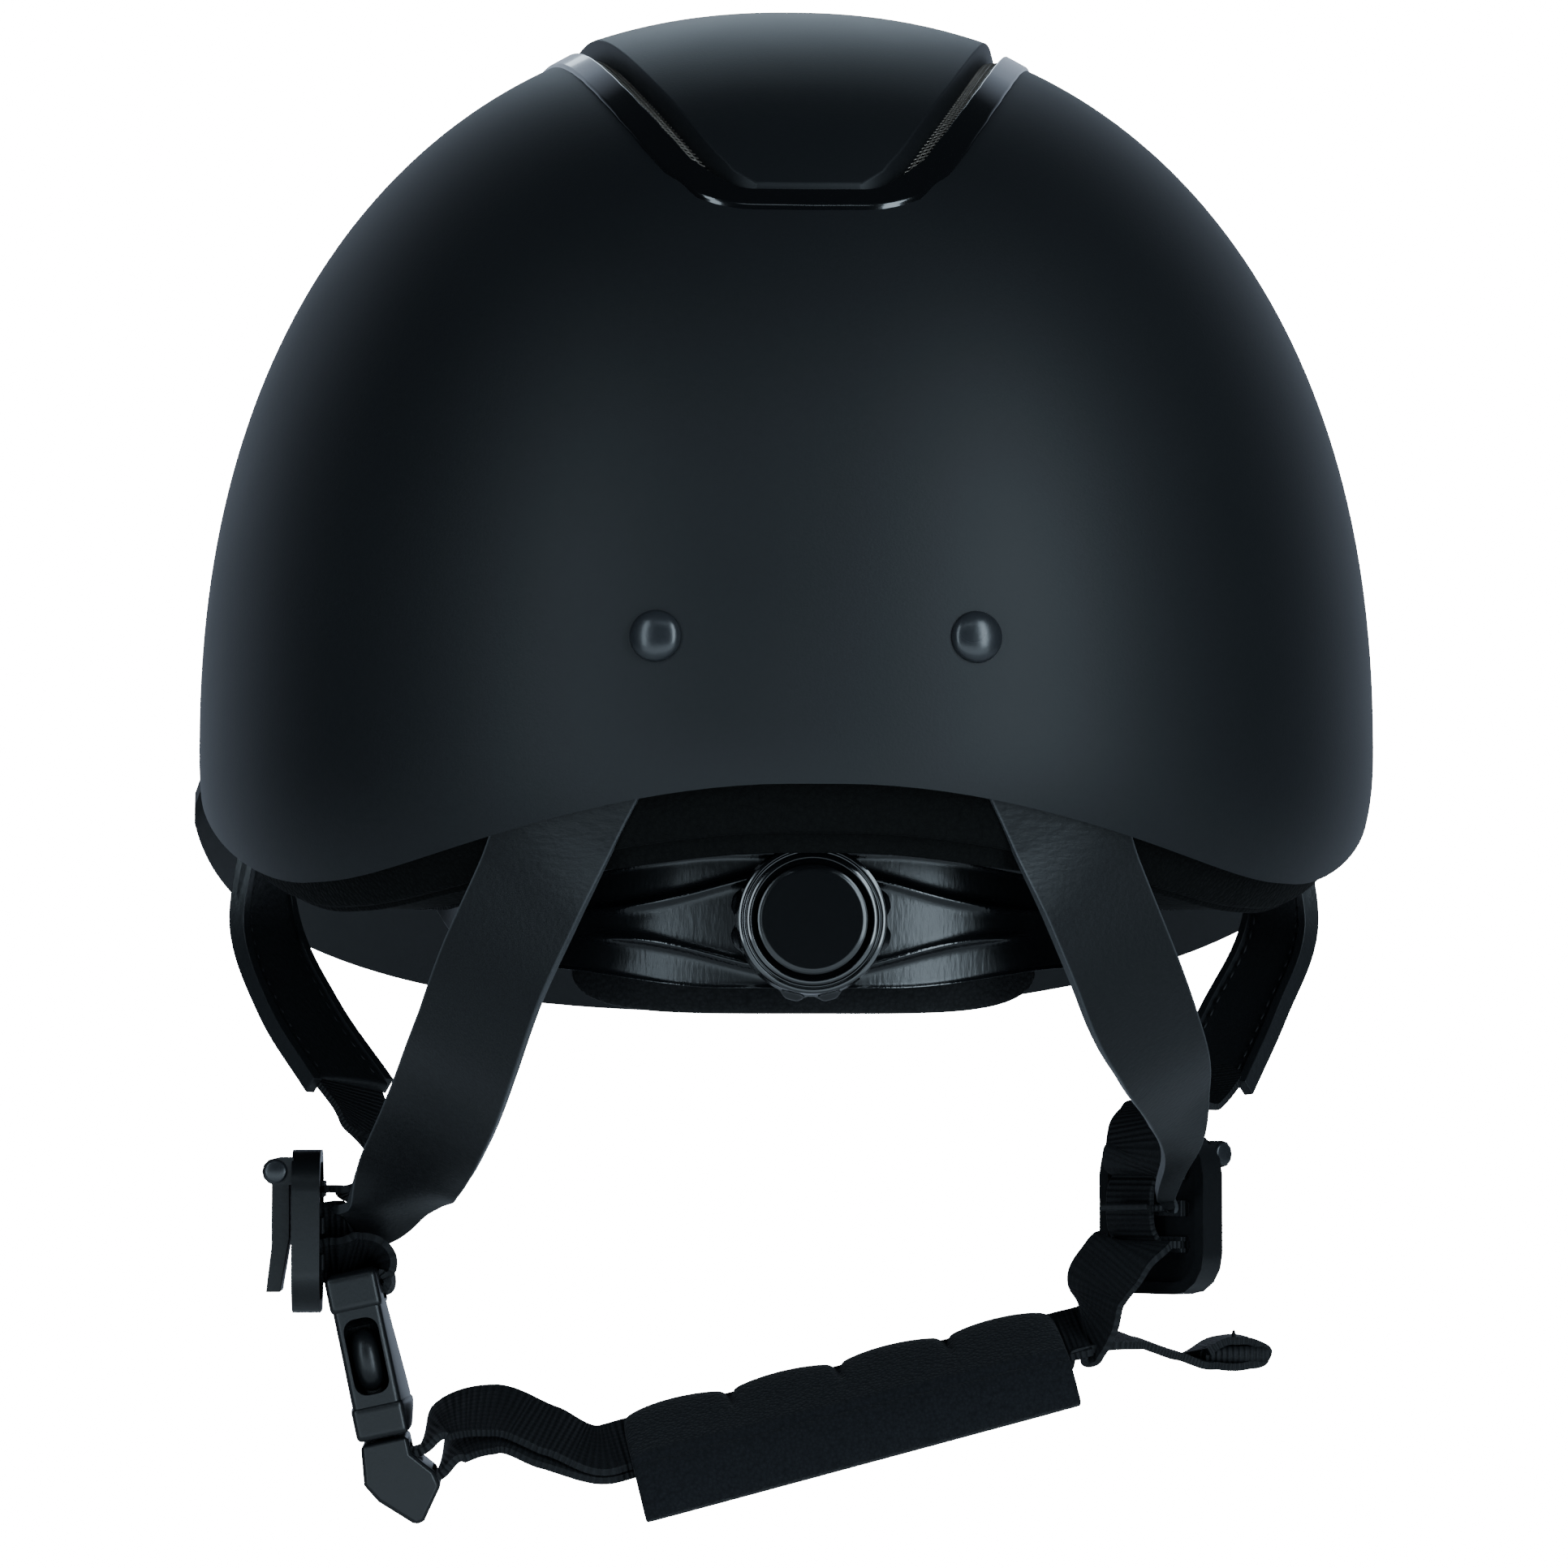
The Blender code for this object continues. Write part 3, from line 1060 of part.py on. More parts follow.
def make_divider(tag, frame):
    holder = empty("divider_frame_" + tag, frame)
    half_width = DIVIDER_WIDTH / 2
    half_height = DIVIDER_HEIGHT / 2
    plate = rounded_loop([(-half_width, -half_height), (half_width, -half_height),
                          (half_width, half_height), (-half_width, half_height)], DIVIDER_CORNER, 4)
    slot_half = WEBBING_WIDTH / 2 + SLIDE_GAP
    slots = []
    for order in range(3):
        level = slot_level(order)
        reach = DIVIDER_SLOT_HEIGHT / 2
        slots.append(rounded_loop([(-slot_half, level - reach), (slot_half, level - reach),
                                   (slot_half, level + reach), (-slot_half, level + reach)],
                                  reach * 0.5, 1))
    base = outline_object("divider_base_" + tag, [plate] + slots, DIVIDER_WALL, SATIN_PLASTIC)
    carry(base, holder, ON_EDGE)
    inset = DIVIDER_BORDER
    hollow = rounded_loop([(-half_width + inset, -half_height + inset),
                           (half_width - inset, -half_height + inset),
                           (half_width - inset, half_height - inset),
                           (-half_width + inset, half_height - inset)], DIVIDER_CORNER - inset, 4)
    recess = outline_object("divider_recess_" + tag, [hollow], 2 * DIVIDER_RECESS)
    carry(recess, holder, Matrix.Translation((-DIVIDER_WALL / 2, 0.0, 0.0)) @ ON_EDGE)
    boolean(base, recess)

    pin_x = DIVIDER_WALL / 2 + SLIDE_GAP + LEVER_BARREL_RADIUS
    pin_z = half_height - LEVER_PIN_DROP
    pin_bore = cylinder("lever_bore_" + tag, LEVER_PIN_RADIUS + SEAT_GAP, DIVIDER_WIDTH * 2, None, 16)
    lying = Matrix.Rotation(math.radians(90), 4, 'X')
    carry(pin_bore, holder, Matrix.Translation((pin_x, 0.0, pin_z)) @ lying)
    ear_middle = half_width - DIVIDER_CORNER * 0.35 - EAR_WALL / 2
    for side, end in ((-1.0, "near"), (1.0, "far")):
        drop = LEVER_BARREL_RADIUS
        foot = DIVIDER_WALL / 2 - pin_x - SEAT_GAP
        profile = [(foot, -drop), (0.0, -drop)]
        profile += [(drop * math.sin(math.radians(a)), -drop * math.cos(math.radians(a)))
                    for a in range(30, 180, 30)]
        profile += [(0.0, drop), (foot, drop)]
        ear = outline_object("divider_ear_" + tag + "_" + end, [profile], EAR_WALL)
        carry(ear, holder, Matrix.Translation((pin_x, side * ear_middle, pin_z)) @ lying)
        boolean(base, ear, 'UNION')
    boolean(base, pin_bore)

    lever_half = ear_middle - EAR_WALL / 2 - SLIDE_GAP
    near = DIVIDER_WALL / 2 + SLIDE_GAP - pin_x
    barrel = LEVER_BARREL_RADIUS
    side_view = [(near + LEVER_WALL, -barrel * 0.2)]
    side_view += [(barrel * math.cos(math.radians(a)), barrel * math.sin(math.radians(a)))
                  for a in range(0, 181, 30)]
    side_view += [(near, -LEVER_LENGTH * 0.55), (near + LEVER_LIP, -LEVER_LENGTH),
                  (near + LEVER_LIP + LEVER_WALL * 0.8, -LEVER_LENGTH),
                  (near + LEVER_WALL, -LEVER_LENGTH * 0.62)]
    lever = outline_object("divider_lever_" + tag, [side_view], 2 * lever_half, SATIN_PLASTIC)
    carry(lever, holder, Matrix.Translation((pin_x, 0.0, pin_z)) @ lying)
    boolean(lever, pin_bore)
    pin_length = 2 * (ear_middle + EAR_WALL / 2)
    pin = cylinder("divider_pin_" + tag, LEVER_PIN_RADIUS, pin_length, STEEL, 16)
    carry(pin, holder, Matrix.Translation((pin_x, 0.0, pin_z)) @ lying)


# Buckle and chin strap

def buckle_matrix():
    """Local Z up the buckle, set square to the line from the chin strap's bend."""
    reach = Vector(BUCKLE_MOUTH) - Vector(CHIN_BEND)
    lean = math.atan2(-reach.z, -reach.x)
    return Matrix.Translation(BUCKLE_MOUTH) @ Matrix.Rotation(-lean, 4, 'Y')


BUCKLE_FRAME = buckle_matrix()


def make_buckle():
    holder = empty("buckle_frame", BUCKLE_FRAME)
    mouth = SLIDE_GAP
    middle = mouth + FEMALE_LENGTH / 2
    female = block("buckle_female", (BUCKLE_WALL, BUCKLE_WIDTH, FEMALE_LENGTH), (0.0, 0.0, middle),
                   SATIN_PLASTIC)
    round_edges(female, 0.0011, 2)
    carry(female, holder)
    cavity_wall = BUCKLE_WALL - 2 * FEMALE_SKIN
    cavity_width = BUCKLE_WIDTH - 2 * FEMALE_SKIN
    cavity = block("buckle_cavity", (cavity_wall, cavity_width, 2 * CAVITY_DEPTH), (0.0, 0.0, mouth))
    window_middle = mouth + WINDOW_START + WINDOW_LENGTH / 2
    window = block("buckle_window", (PRONG_WALL + 2 * SLIDE_GAP, BUCKLE_WIDTH * 1.5, WINDOW_LENGTH),
                   (0.0, 0.0, window_middle))
    round_edges(window, 0.0015, 3)
    slot = block("buckle_web_slot", (BUCKLE_WALL * 2, WEBBING_WIDTH + 2 * SLIDE_GAP, BUCKLE_SLOT_HEIGHT),
                 (0.0, 0.0, FEMALE_SLOT_LEVEL))
    for tool in (cavity, window, slot):
        carry(tool, holder)
        boolean(female, tool)

    lying = Matrix.Rotation(math.radians(90), 4, 'X')
    half = BUCKLE_WALL / 2
    side_view = [(-half, 0.0), (-half * 1.2, -MALE_LENGTH * 0.45), (-half * 0.75, -MALE_LENGTH * 0.66),
                 (half * 0.55, -MALE_LENGTH), (half * 0.95, -MALE_LENGTH * 0.98),
                 (half * 1.95, -MALE_LENGTH * 0.62), (half * 1.8, -MALE_LENGTH * 0.46),
                 (half, -MALE_LENGTH * 0.2), (half, 0.0)]
    male = outline_object("buckle_male", [side_view], MALE_WIDTH, SATIN_PLASTIC)
    carry(male, holder, lying)
    round_edges(male, 0.0006, 1)
    tongue = block("buckle_tongue", (TONGUE_WALL, TONGUE_WIDTH, TONGUE_LENGTH + BUCKLE_PLAY),
                   (0.0, 0.0, (TONGUE_LENGTH - BUCKLE_PLAY) / 2))
    carry(tongue, holder)
    boolean(male, tongue, 'UNION')
    for name, level, depth in (("upper", MALE_UPPER_SLOT, 0.010), ("lower", MALE_LOWER_SLOT, 0.010)):
        cut = block("male_slot_" + name, (depth, WEBBING_WIDTH + 2 * SLIDE_GAP, BUCKLE_SLOT_HEIGHT),
                    (half * 0.2 + depth / 2, 0.0, level))
        carry(cut, holder)
        boolean(male, cut)

    shoulder_low = mouth + WINDOW_START + SLIDE_GAP
    shoulder_high = mouth + WINDOW_START + WINDOW_LENGTH - SLIDE_GAP
    outer = BUCKLE_WIDTH / 2 - SEAT_GAP
    root = PRONG_ROOT
    arm = PRONG_ARM
    for side, tag in ((-1.0, "rear"), (1.0, "front")):
        view = [(root, SEAT_GAP), (root + arm, SEAT_GAP), (root + arm, shoulder_low),
                (outer - 0.0012, shoulder_low), (outer, shoulder_low + 0.0015),
                (outer, shoulder_high - 0.0030), (outer - 0.0012, shoulder_high - 0.0008),
                (root + arm, shoulder_high), (root + arm * 0.3, shoulder_high)]
        loop = [(side * y, z) for y, z in view]
        prong = outline_object("buckle_prong_" + tag, [loop], PRONG_WALL, SATIN_PLASTIC)
        carry(prong, holder, ON_EDGE)


MALE_UPPER_SLOT = -MALE_LENGTH * 0.22
MALE_LOWER_SLOT = -MALE_LENGTH * 0.54


def chin_frame():
    """The chin pad's own axes: along it, across it and out of its upper face."""
    along = (Vector(CHIN_PAD_END) - Vector(CHIN_PAD_START)).normalized()
    tilt = math.radians(CHIN_TILT)
    across = Vector((0.0, math.cos(tilt), math.sin(tilt)))
    across = (across - along * across.dot(along)).normalized()
    return along, across, along.cross(across)


def make_chin_pad():
    """A soft sleeve with a scalloped upper edge and a lower edge that folds down."""
    along, across, out = chin_frame()
    start = Vector(CHIN_PAD_START)
    length = (Vector(CHIN_PAD_END) - start).length
    down = (Vector((0.0, -0.25, -1.0)) - along * Vector((0.0, -0.25, -1.0)).dot(along)).normalized()
    bm = bmesh.new()
    bmesh.ops.create_cube(bm, size=2.0)
    for axis, cuts in ((0, 23), (1, 7), (2, 1)):
        lines = [edge for edge in bm.edges
                 if abs(edge.verts[0].co[axis] - edge.verts[1].co[axis]) > 1.5]
        bmesh.ops.subdivide_edges(bm, edges=lines, cuts=cuts, use_grid_fill=True)
    for vert in bm.verts:
        lengthwise, breadth, depth = vert.co
        share = (lengthwise + 1.0) / 2.0
        size = 1.0 + (CHIN_PAD_TAPER - 1.0) * share
        lobe = abs(math.sin(math.pi * CHIN_PAD_LOBES * share)) ** 0.6
        upper = CHIN_PAD_UPPER - CHIN_PAD_NOTCH * (1.0 - lobe)
        lower = CHIN_PAD_LOWER
        flat = min(1.0, max(0.0, (0.5 - breadth) / 1.5))
        edge = abs(breadth) ** 4
        end = abs(lengthwise) ** 12
        half = CHIN_PAD_WALL / 2 * math.sqrt(max(0.02, 1.0 - 0.72 * edge)) * (1.0 - 0.12 * end)
        if breadth >= -0.5:
            place = across * ((upper + lower) * (breadth + 0.5) / 1.5 - lower)
            normal = out
        else:
            fold = (-0.5 - breadth) / 0.5
            place = across * -lower + down * (CHIN_PAD_FLAP * size * fold)
            turn = smoothstep(0.0, 1.0, fold)
            normal = (out * (1.0 - turn) + along.cross(-down) * turn).normalized()
        vert.co = start + along * (length * share) + place + normal * (half * depth)
    pad = bmesh_object("chin_pad", bm, CHIN_CLOTH, 60.0)
    tunnel_wall = 2 * (CHIN_LAYER + WEBBING_WALL / 2 + CHIN_TUNNEL_PLAY)
    tunnel_width = WEBBING_WIDTH + 2 * CHIN_TUNNEL_PLAY
    tunnel = block("chin_tunnel", (length * 1.4, tunnel_width, tunnel_wall))
    turn = Matrix((along, across, out)).transposed().to_4x4()
    tunnel.matrix_world = Matrix.Translation(start + along * (length / 2)) @ turn
    boolean(pad, tunnel)
    return pad


BUCKLE_LOOP = [((-0.0760, 0.0010, -0.0644), (0.0, 1.0, 0.0)),
               ((-0.0722, 0.0020, -0.0644), (0.0, 1.0, 0.0)),
               ((-0.0692, 0.0030, -0.0664), (0.0, 1.0, 0.0))]
CHIN_UPPER_RUN = [((-0.0615, 0.0020, -0.0945), (0.0, 0.90, 0.40)),
                  ((-0.0520, 0.0010, -0.0922), (0.0, 0.88, 0.47)),
                  ((-0.0420, 0.0000, -0.0945), (0.0, 0.88, 0.47))]
CHIN_LOWER_RUN = [((-0.0580, 0.0020, -0.1010), (0.0, 0.90, 0.40)),
                  ((-0.0510, 0.0010, -0.0997), (0.0, 0.88, 0.47)),
                  ((-0.0430, 0.0000, -0.1003), (0.0, 0.88, 0.47))]
CHIN_RIGHT_RUN = [((0.0563, -0.0018, -0.0765), (0.0, 0.93, 0.30)),
                  ((0.0563, -0.0045, -0.0730), (0.0, 1.0, 0.05))]
TAIL_RUN = [((0.0640, 0.0080, -0.0797), (0.0, 0.97, 0.20)),
            ((0.0720, 0.0180, -0.0812), (0.0, 1.0, 0.0)),
            ((0.0800, 0.0235, -0.0830), (0.0, 1.0, 0.0)),
            ((0.0900, 0.0260, -0.0832), (0.0, 1.0, 0.0))]
ANCHOR_RUN = [((0.0608, -0.0056, -0.0636), (-0.45, 0.88, 0.0)),
              ((0.0576, -0.0056, -0.0664), (-0.20, 0.97, 0.0))]


def buckle_stop(level, out):
    place = BUCKLE_FRAME @ Vector((out, 0.0, level))
    return place, (0.0, 1.0, 0.0)


def make_chin_strap():
    ends = slot_stops(LEFT_FRAME, 2, 0.0030)
    ends.reverse()
    loop_out = [buckle_stop(FEMALE_SLOT_LEVEL, BUCKLE_WALL / 2 + 0.0028),
                buckle_stop(FEMALE_SLOT_LEVEL, BUCKLE_WALL / 2),
                buckle_stop(FEMALE_SLOT_LEVEL, -BUCKLE_WALL / 2 + SEAT_GAP)]
    ribbon("buckle_webbing", flipped(ends) + BUCKLE_LOOP + loop_out, WEBBING_WIDTH, WEBBING_WALL,
           WEBBING)

    along, across, out = chin_frame()
    start = Vector(CHIN_PAD_START)
    end = Vector(CHIN_PAD_END)
    lead = CHIN_PAD_TRAVEL + 0.0015
    half = BUCKLE_WALL / 2
    straight = [(start - along * lead, across), (start, across), (end, across),
                (end + along * lead, across)]

    def layer(shift):
        return [(place + out * shift, side) for place, side in straight]

    bend = Vector(CHIN_BEND)
    upper = [buckle_stop(MALE_UPPER_SLOT, half * 0.35), buckle_stop(MALE_UPPER_SLOT, half * 1.4)]
    gap = Vector((0.0, 0.0, -CHIN_BEND_GAP / 2))
    ribbon("chin_webbing", upper + CHIN_UPPER_RUN + layer(CHIN_LAYER) + CHIN_RIGHT_RUN
           + [(bend + gap, (0.0, 1.0, 0.0))], WEBBING_WIDTH, WEBBING_WALL, WEBBING)
    lower = [buckle_stop(MALE_LOWER_SLOT, half * 0.35), buckle_stop(MALE_LOWER_SLOT, half * 1.9)]
    ribbon("chin_webbing_return", lower + CHIN_LOWER_RUN + layer(-CHIN_LAYER) + TAIL_RUN,
           WEBBING_WIDTH, WEBBING_WALL, WEBBING)

    anchor_ends = slot_stops(RIGHT_FRAME, 2, 0.0030)
    anchor_ends.reverse()
    ribbon("chin_webbing_anchor", anchor_ends + ANCHOR_RUN + [(bend - gap, (0.0, 1.0, 0.0))],
           WEBBING_WIDTH, WEBBING_WALL, WEBBING)


outer_shell = make_shell()
impact_liner = make_liner()
comfort_lining = make_comfort_lining()
make_crown_vent()
make_peak()
make_harness(outer_shell, impact_liner)
make_cradle()
make_dial()
make_rack_band("left", -1.0, True)
make_rack_band("right", 1.0, False)
make_pivot_pins(impact_liner, comfort_lining)
make_divider("left", LEFT_FRAME)
make_divider("right", RIGHT_FRAME)
make_buckle()
make_chin_pad()
make_chin_strap()
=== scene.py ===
import math

import bmesh
import bpy
from mathutils import Matrix, Vector


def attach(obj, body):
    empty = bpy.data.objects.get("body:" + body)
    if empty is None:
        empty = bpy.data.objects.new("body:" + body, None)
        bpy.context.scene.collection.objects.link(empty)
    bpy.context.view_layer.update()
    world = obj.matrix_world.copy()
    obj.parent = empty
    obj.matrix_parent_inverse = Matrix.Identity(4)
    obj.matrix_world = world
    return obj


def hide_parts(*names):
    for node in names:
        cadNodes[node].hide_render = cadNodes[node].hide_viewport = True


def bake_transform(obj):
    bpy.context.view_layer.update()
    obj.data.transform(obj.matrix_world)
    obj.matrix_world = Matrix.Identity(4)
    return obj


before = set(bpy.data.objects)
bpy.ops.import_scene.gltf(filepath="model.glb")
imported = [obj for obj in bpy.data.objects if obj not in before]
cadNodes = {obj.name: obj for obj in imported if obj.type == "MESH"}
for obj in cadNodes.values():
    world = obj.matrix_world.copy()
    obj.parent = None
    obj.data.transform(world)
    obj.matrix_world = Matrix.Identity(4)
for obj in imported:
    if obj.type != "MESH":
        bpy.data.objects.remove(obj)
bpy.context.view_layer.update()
print("frame loaded with", len(cadNodes), "nodes")


def addObject(name, data):
    thing = bpy.data.objects.new(name, data)
    bpy.context.scene.collection.objects.link(thing)
    return thing


def aim(thing, place, target):
    thing.location = place
    thing.rotation_euler = (Vector(target) - thing.location).to_track_quat("-Z", "Y").to_euler()


def feed(tree, node, given):  # sets each named input to a value, or links it to a socket
    for label, value in given.items():
        if isinstance(value, bpy.types.NodeSocket):
            tree.links.new(value, node.inputs[label])
        else:
            node.inputs[label].default_value = value


def addNode(tree, kind, given=None, **settings):
    node = tree.nodes.new("ShaderNode" + kind)
    for label, value in settings.items():
        setattr(node, label, value)
    feed(tree, node, given or {})
    return node


# camera: behind the helmet and a little below it
viewpoint = {"place": (-0.0479, -1.0974, -0.0372), "target": (0.0, 0.0, 0.0204),
             "lens": 139.8, "sensor": 36.0}
camData = bpy.data.cameras.new("backView")
camData.lens = viewpoint["lens"]
camData.sensor_width = viewpoint["sensor"]
cam = addObject("backView", camData)
aim(cam, viewpoint["place"], viewpoint["target"])
bpy.context.scene.camera = cam

# studio light: two tall side boxes, one behind for the crown, a thin strip above and a weak low box
studio = {
    "leftBox": {"place": (-1.18, -1.36, 0.45), "size": (0.28, 1.7), "power": 9.8},
    "rightBox": {"place": (1.06, -1.43, 0.45), "size": (0.44, 1.7), "power": 21.0},
    "backBox": {"place": (0.0, 1.35, 1.15), "size": (0.6, 0.8), "power": 3.7},
    "stripBox": {"place": (0.0, -1.30, 0.95), "size": (0.9, 0.06), "power": 0.9},
    "lowBox": {"place": (0.0, -0.42, -0.22), "size": (1.0, 0.36), "power": 1.5},
}
lightAim = (0.0, 0.0, 0.03)
lightColour = (0.72, 0.88, 1.0)
for boxName, box in studio.items():
    lamp = bpy.data.lights.new(boxName, "AREA")
    lamp.shape = "RECTANGLE"
    lamp.size, lamp.size_y = box["size"]
    lamp.energy = box["power"]
    lamp.color = lightColour
    holder = addObject(boxName, lamp)
    holder.visible_camera = False
    aim(holder, box["place"], lightAim)

# white surround: what the camera sees is plain white, the rest is brighter behind the helmet
surround = {"seen": 18.0, "around": 1.0, "dim": (0.022, 0.027, 0.032, 1.0), "dimTo": 0.77,
            "bright": (0.56, 0.66, 0.81, 1.0), "brightFrom": 0.89}
world = bpy.data.worlds.new("whiteStudio")
bpy.context.scene.world = world
world.use_nodes = True
worldTree = world.node_tree
worldTree.nodes.clear()
direction = addNode(worldTree, "SeparateXYZ", {0: addNode(worldTree, "TexCoord").outputs["Generated"]})
shift = addNode(worldTree, "Math", {0: direction.outputs["Y"], 1: 0.5, 2: 0.5}, operation="MULTIPLY_ADD")
ramp = addNode(worldTree, "ValToRGB", {0: shift.outputs[0]})
for stop, place, colour in zip(ramp.color_ramp.elements, ("dimTo", "brightFrom"), ("dim", "bright")):
    stop.position = surround[place]
    stop.color = surround[colour]
around = addNode(worldTree, "Background", {"Color": ramp.outputs["Color"], "Strength": surround["around"]})
seen = addNode(worldTree, "Background", {"Color": (1.0, 1.0, 1.0, 1.0), "Strength": surround["seen"]})
cameraRay = addNode(worldTree, "LightPath").outputs["Is Camera Ray"]
worldMix = addNode(worldTree, "MixShader", {0: cameraRay, 1: around.outputs[0], 2: seen.outputs[0]})
addNode(worldTree, "OutputWorld", {"Surface": worldMix.outputs[0]})
print("camera and studio ready")


# shared shader effects

def newGroup(name, inputs, outputs):
    group = bpy.data.node_groups.new(name, "ShaderNodeTree")
    for way, sockets in (("INPUT", inputs), ("OUTPUT", outputs)):
        for label, kind in sockets.items():
            group.interface.new_socket(label, in_out=way, socket_type="NodeSocket" + kind)
    return group, group.nodes.new("NodeGroupInput").outputs, group.nodes.new("NodeGroupOutput")


def mathNode(tree, operation, *values):
    return addNode(tree, "Math", dict(enumerate(values)), operation=operation).outputs[0]


def mixColour(tree, factor, dark, light):
    blend = addNode(tree, "Mix", {"Factor": factor, "A": dark, "B": light}, data_type="RGBA")
    return blend.outputs["Result"]


def noise(tree, vector, scale, detail):
    return addNode(tree, "TexNoise", {"Vector": vector, "Scale": scale, "Detail": detail}).outputs["Fac"]


def fade(tree, value, start, end, low, high):
    given = {"Value": value, "From Min": start, "From Max": end, "To Min": low, "To Max": high}
    return addNode(tree, "MapRange", given, interpolation_type="SMOOTHSTEP").outputs["Result"]


toneInputs = {"Dark": "Color", "Light": "Color", "Rough Low": "Float", "Rough High": "Float"}
surfaceOutputs = {"Color": "Color", "Roughness": "Float", "Height": "Float"}


def closeGroup(group, given, result, tone, drift, height):
    limits = {"Value": drift, "To Min": given["Rough Low"], "To Max": given["Rough High"]}
    rough = addNode(group, "MapRange", limits)
    feed(group, result, {"Color": mixColour(group, tone, given["Dark"], given["Light"]),
                         "Roughness": rough.outputs["Result"], "Height": height})
    return group


def makeGrainGroup():  # moulded grain: fine height, slow colour and gloss drift
    inputs = {"Vector": "Vector", "Scale": "Float", **toneInputs}
    group, given, result = newGroup("mouldGrain", inputs, surfaceOutputs)
    fine = noise(group, given["Vector"], given["Scale"], 3.0)
    slow = noise(group, given["Vector"], 26.0, 3.0)
    both = mathNode(group, "MULTIPLY", mathNode(group, "ADD", fine, slow), 0.5)
    return closeGroup(group, given, result, both, slow, fine)


def makeWebbingGroup():  # ribs across the webbing, yarns along it, read from a UV map in metres
    inputs = {"Vector": "Vector", "Ribs": "Float", "Yarns": "Float", **toneInputs}
    group, given, result = newGroup("webbingWeave", inputs, surfaceOutputs)
    parts = addNode(group, "SeparateXYZ", {0: given["Vector"]}).outputs

    def wave(along, count, strength):
        turns = mathNode(group, "MULTIPLY", mathNode(group, "MULTIPLY", along, count), 2.0 * math.pi)
        return mathNode(group, "MULTIPLY", mathNode(group, "SINE", turns), strength)

    ribs = wave(parts["X"], given["Ribs"], 0.34)
    yarns = wave(parts["Y"], given["Yarns"], 0.05)
    height = mathNode(group, "ADD", mathNode(group, "ADD", ribs, yarns), 0.5)
    fuzz = noise(group, given["Vector"], 2600.0, 2.0)
    tone = mathNode(group, "MULTIPLY", height, mathNode(group, "ADD", fuzz, 0.4))
    raised = mathNode(group, "ADD", height, mathNode(group, "MULTIPLY", fuzz, 0.25))
    return closeGroup(group, given, result, tone, fuzz, raised)


def makeKnitGroup():  # knitted cloth: small rounded cells with stray fibres
    inputs = {"Vector": "Vector", "Scale": "Float", **toneInputs}
    group, given, result = newGroup("knitCells", inputs, surfaceOutputs)
    cells = addNode(group, "TexVoronoi", {"Vector": given["Vector"], "Scale": given["Scale"]})
    loops = mathNode(group, "SUBTRACT", 1.0, cells.outputs["Distance"])
    fuzz = noise(group, given["Vector"], 420.0, 4.0)
    tone = mathNode(group, "MULTIPLY", loops, mathNode(group, "ADD", fuzz, 0.3))
    raised = mathNode(group, "ADD", loops, mathNode(group, "MULTIPLY", fuzz, 0.5))
    return closeGroup(group, given, result, tone, fuzz, raised)


effects = {"grain": makeGrainGroup(), "webbing": makeWebbingGroup(), "knit": makeKnitGroup()}

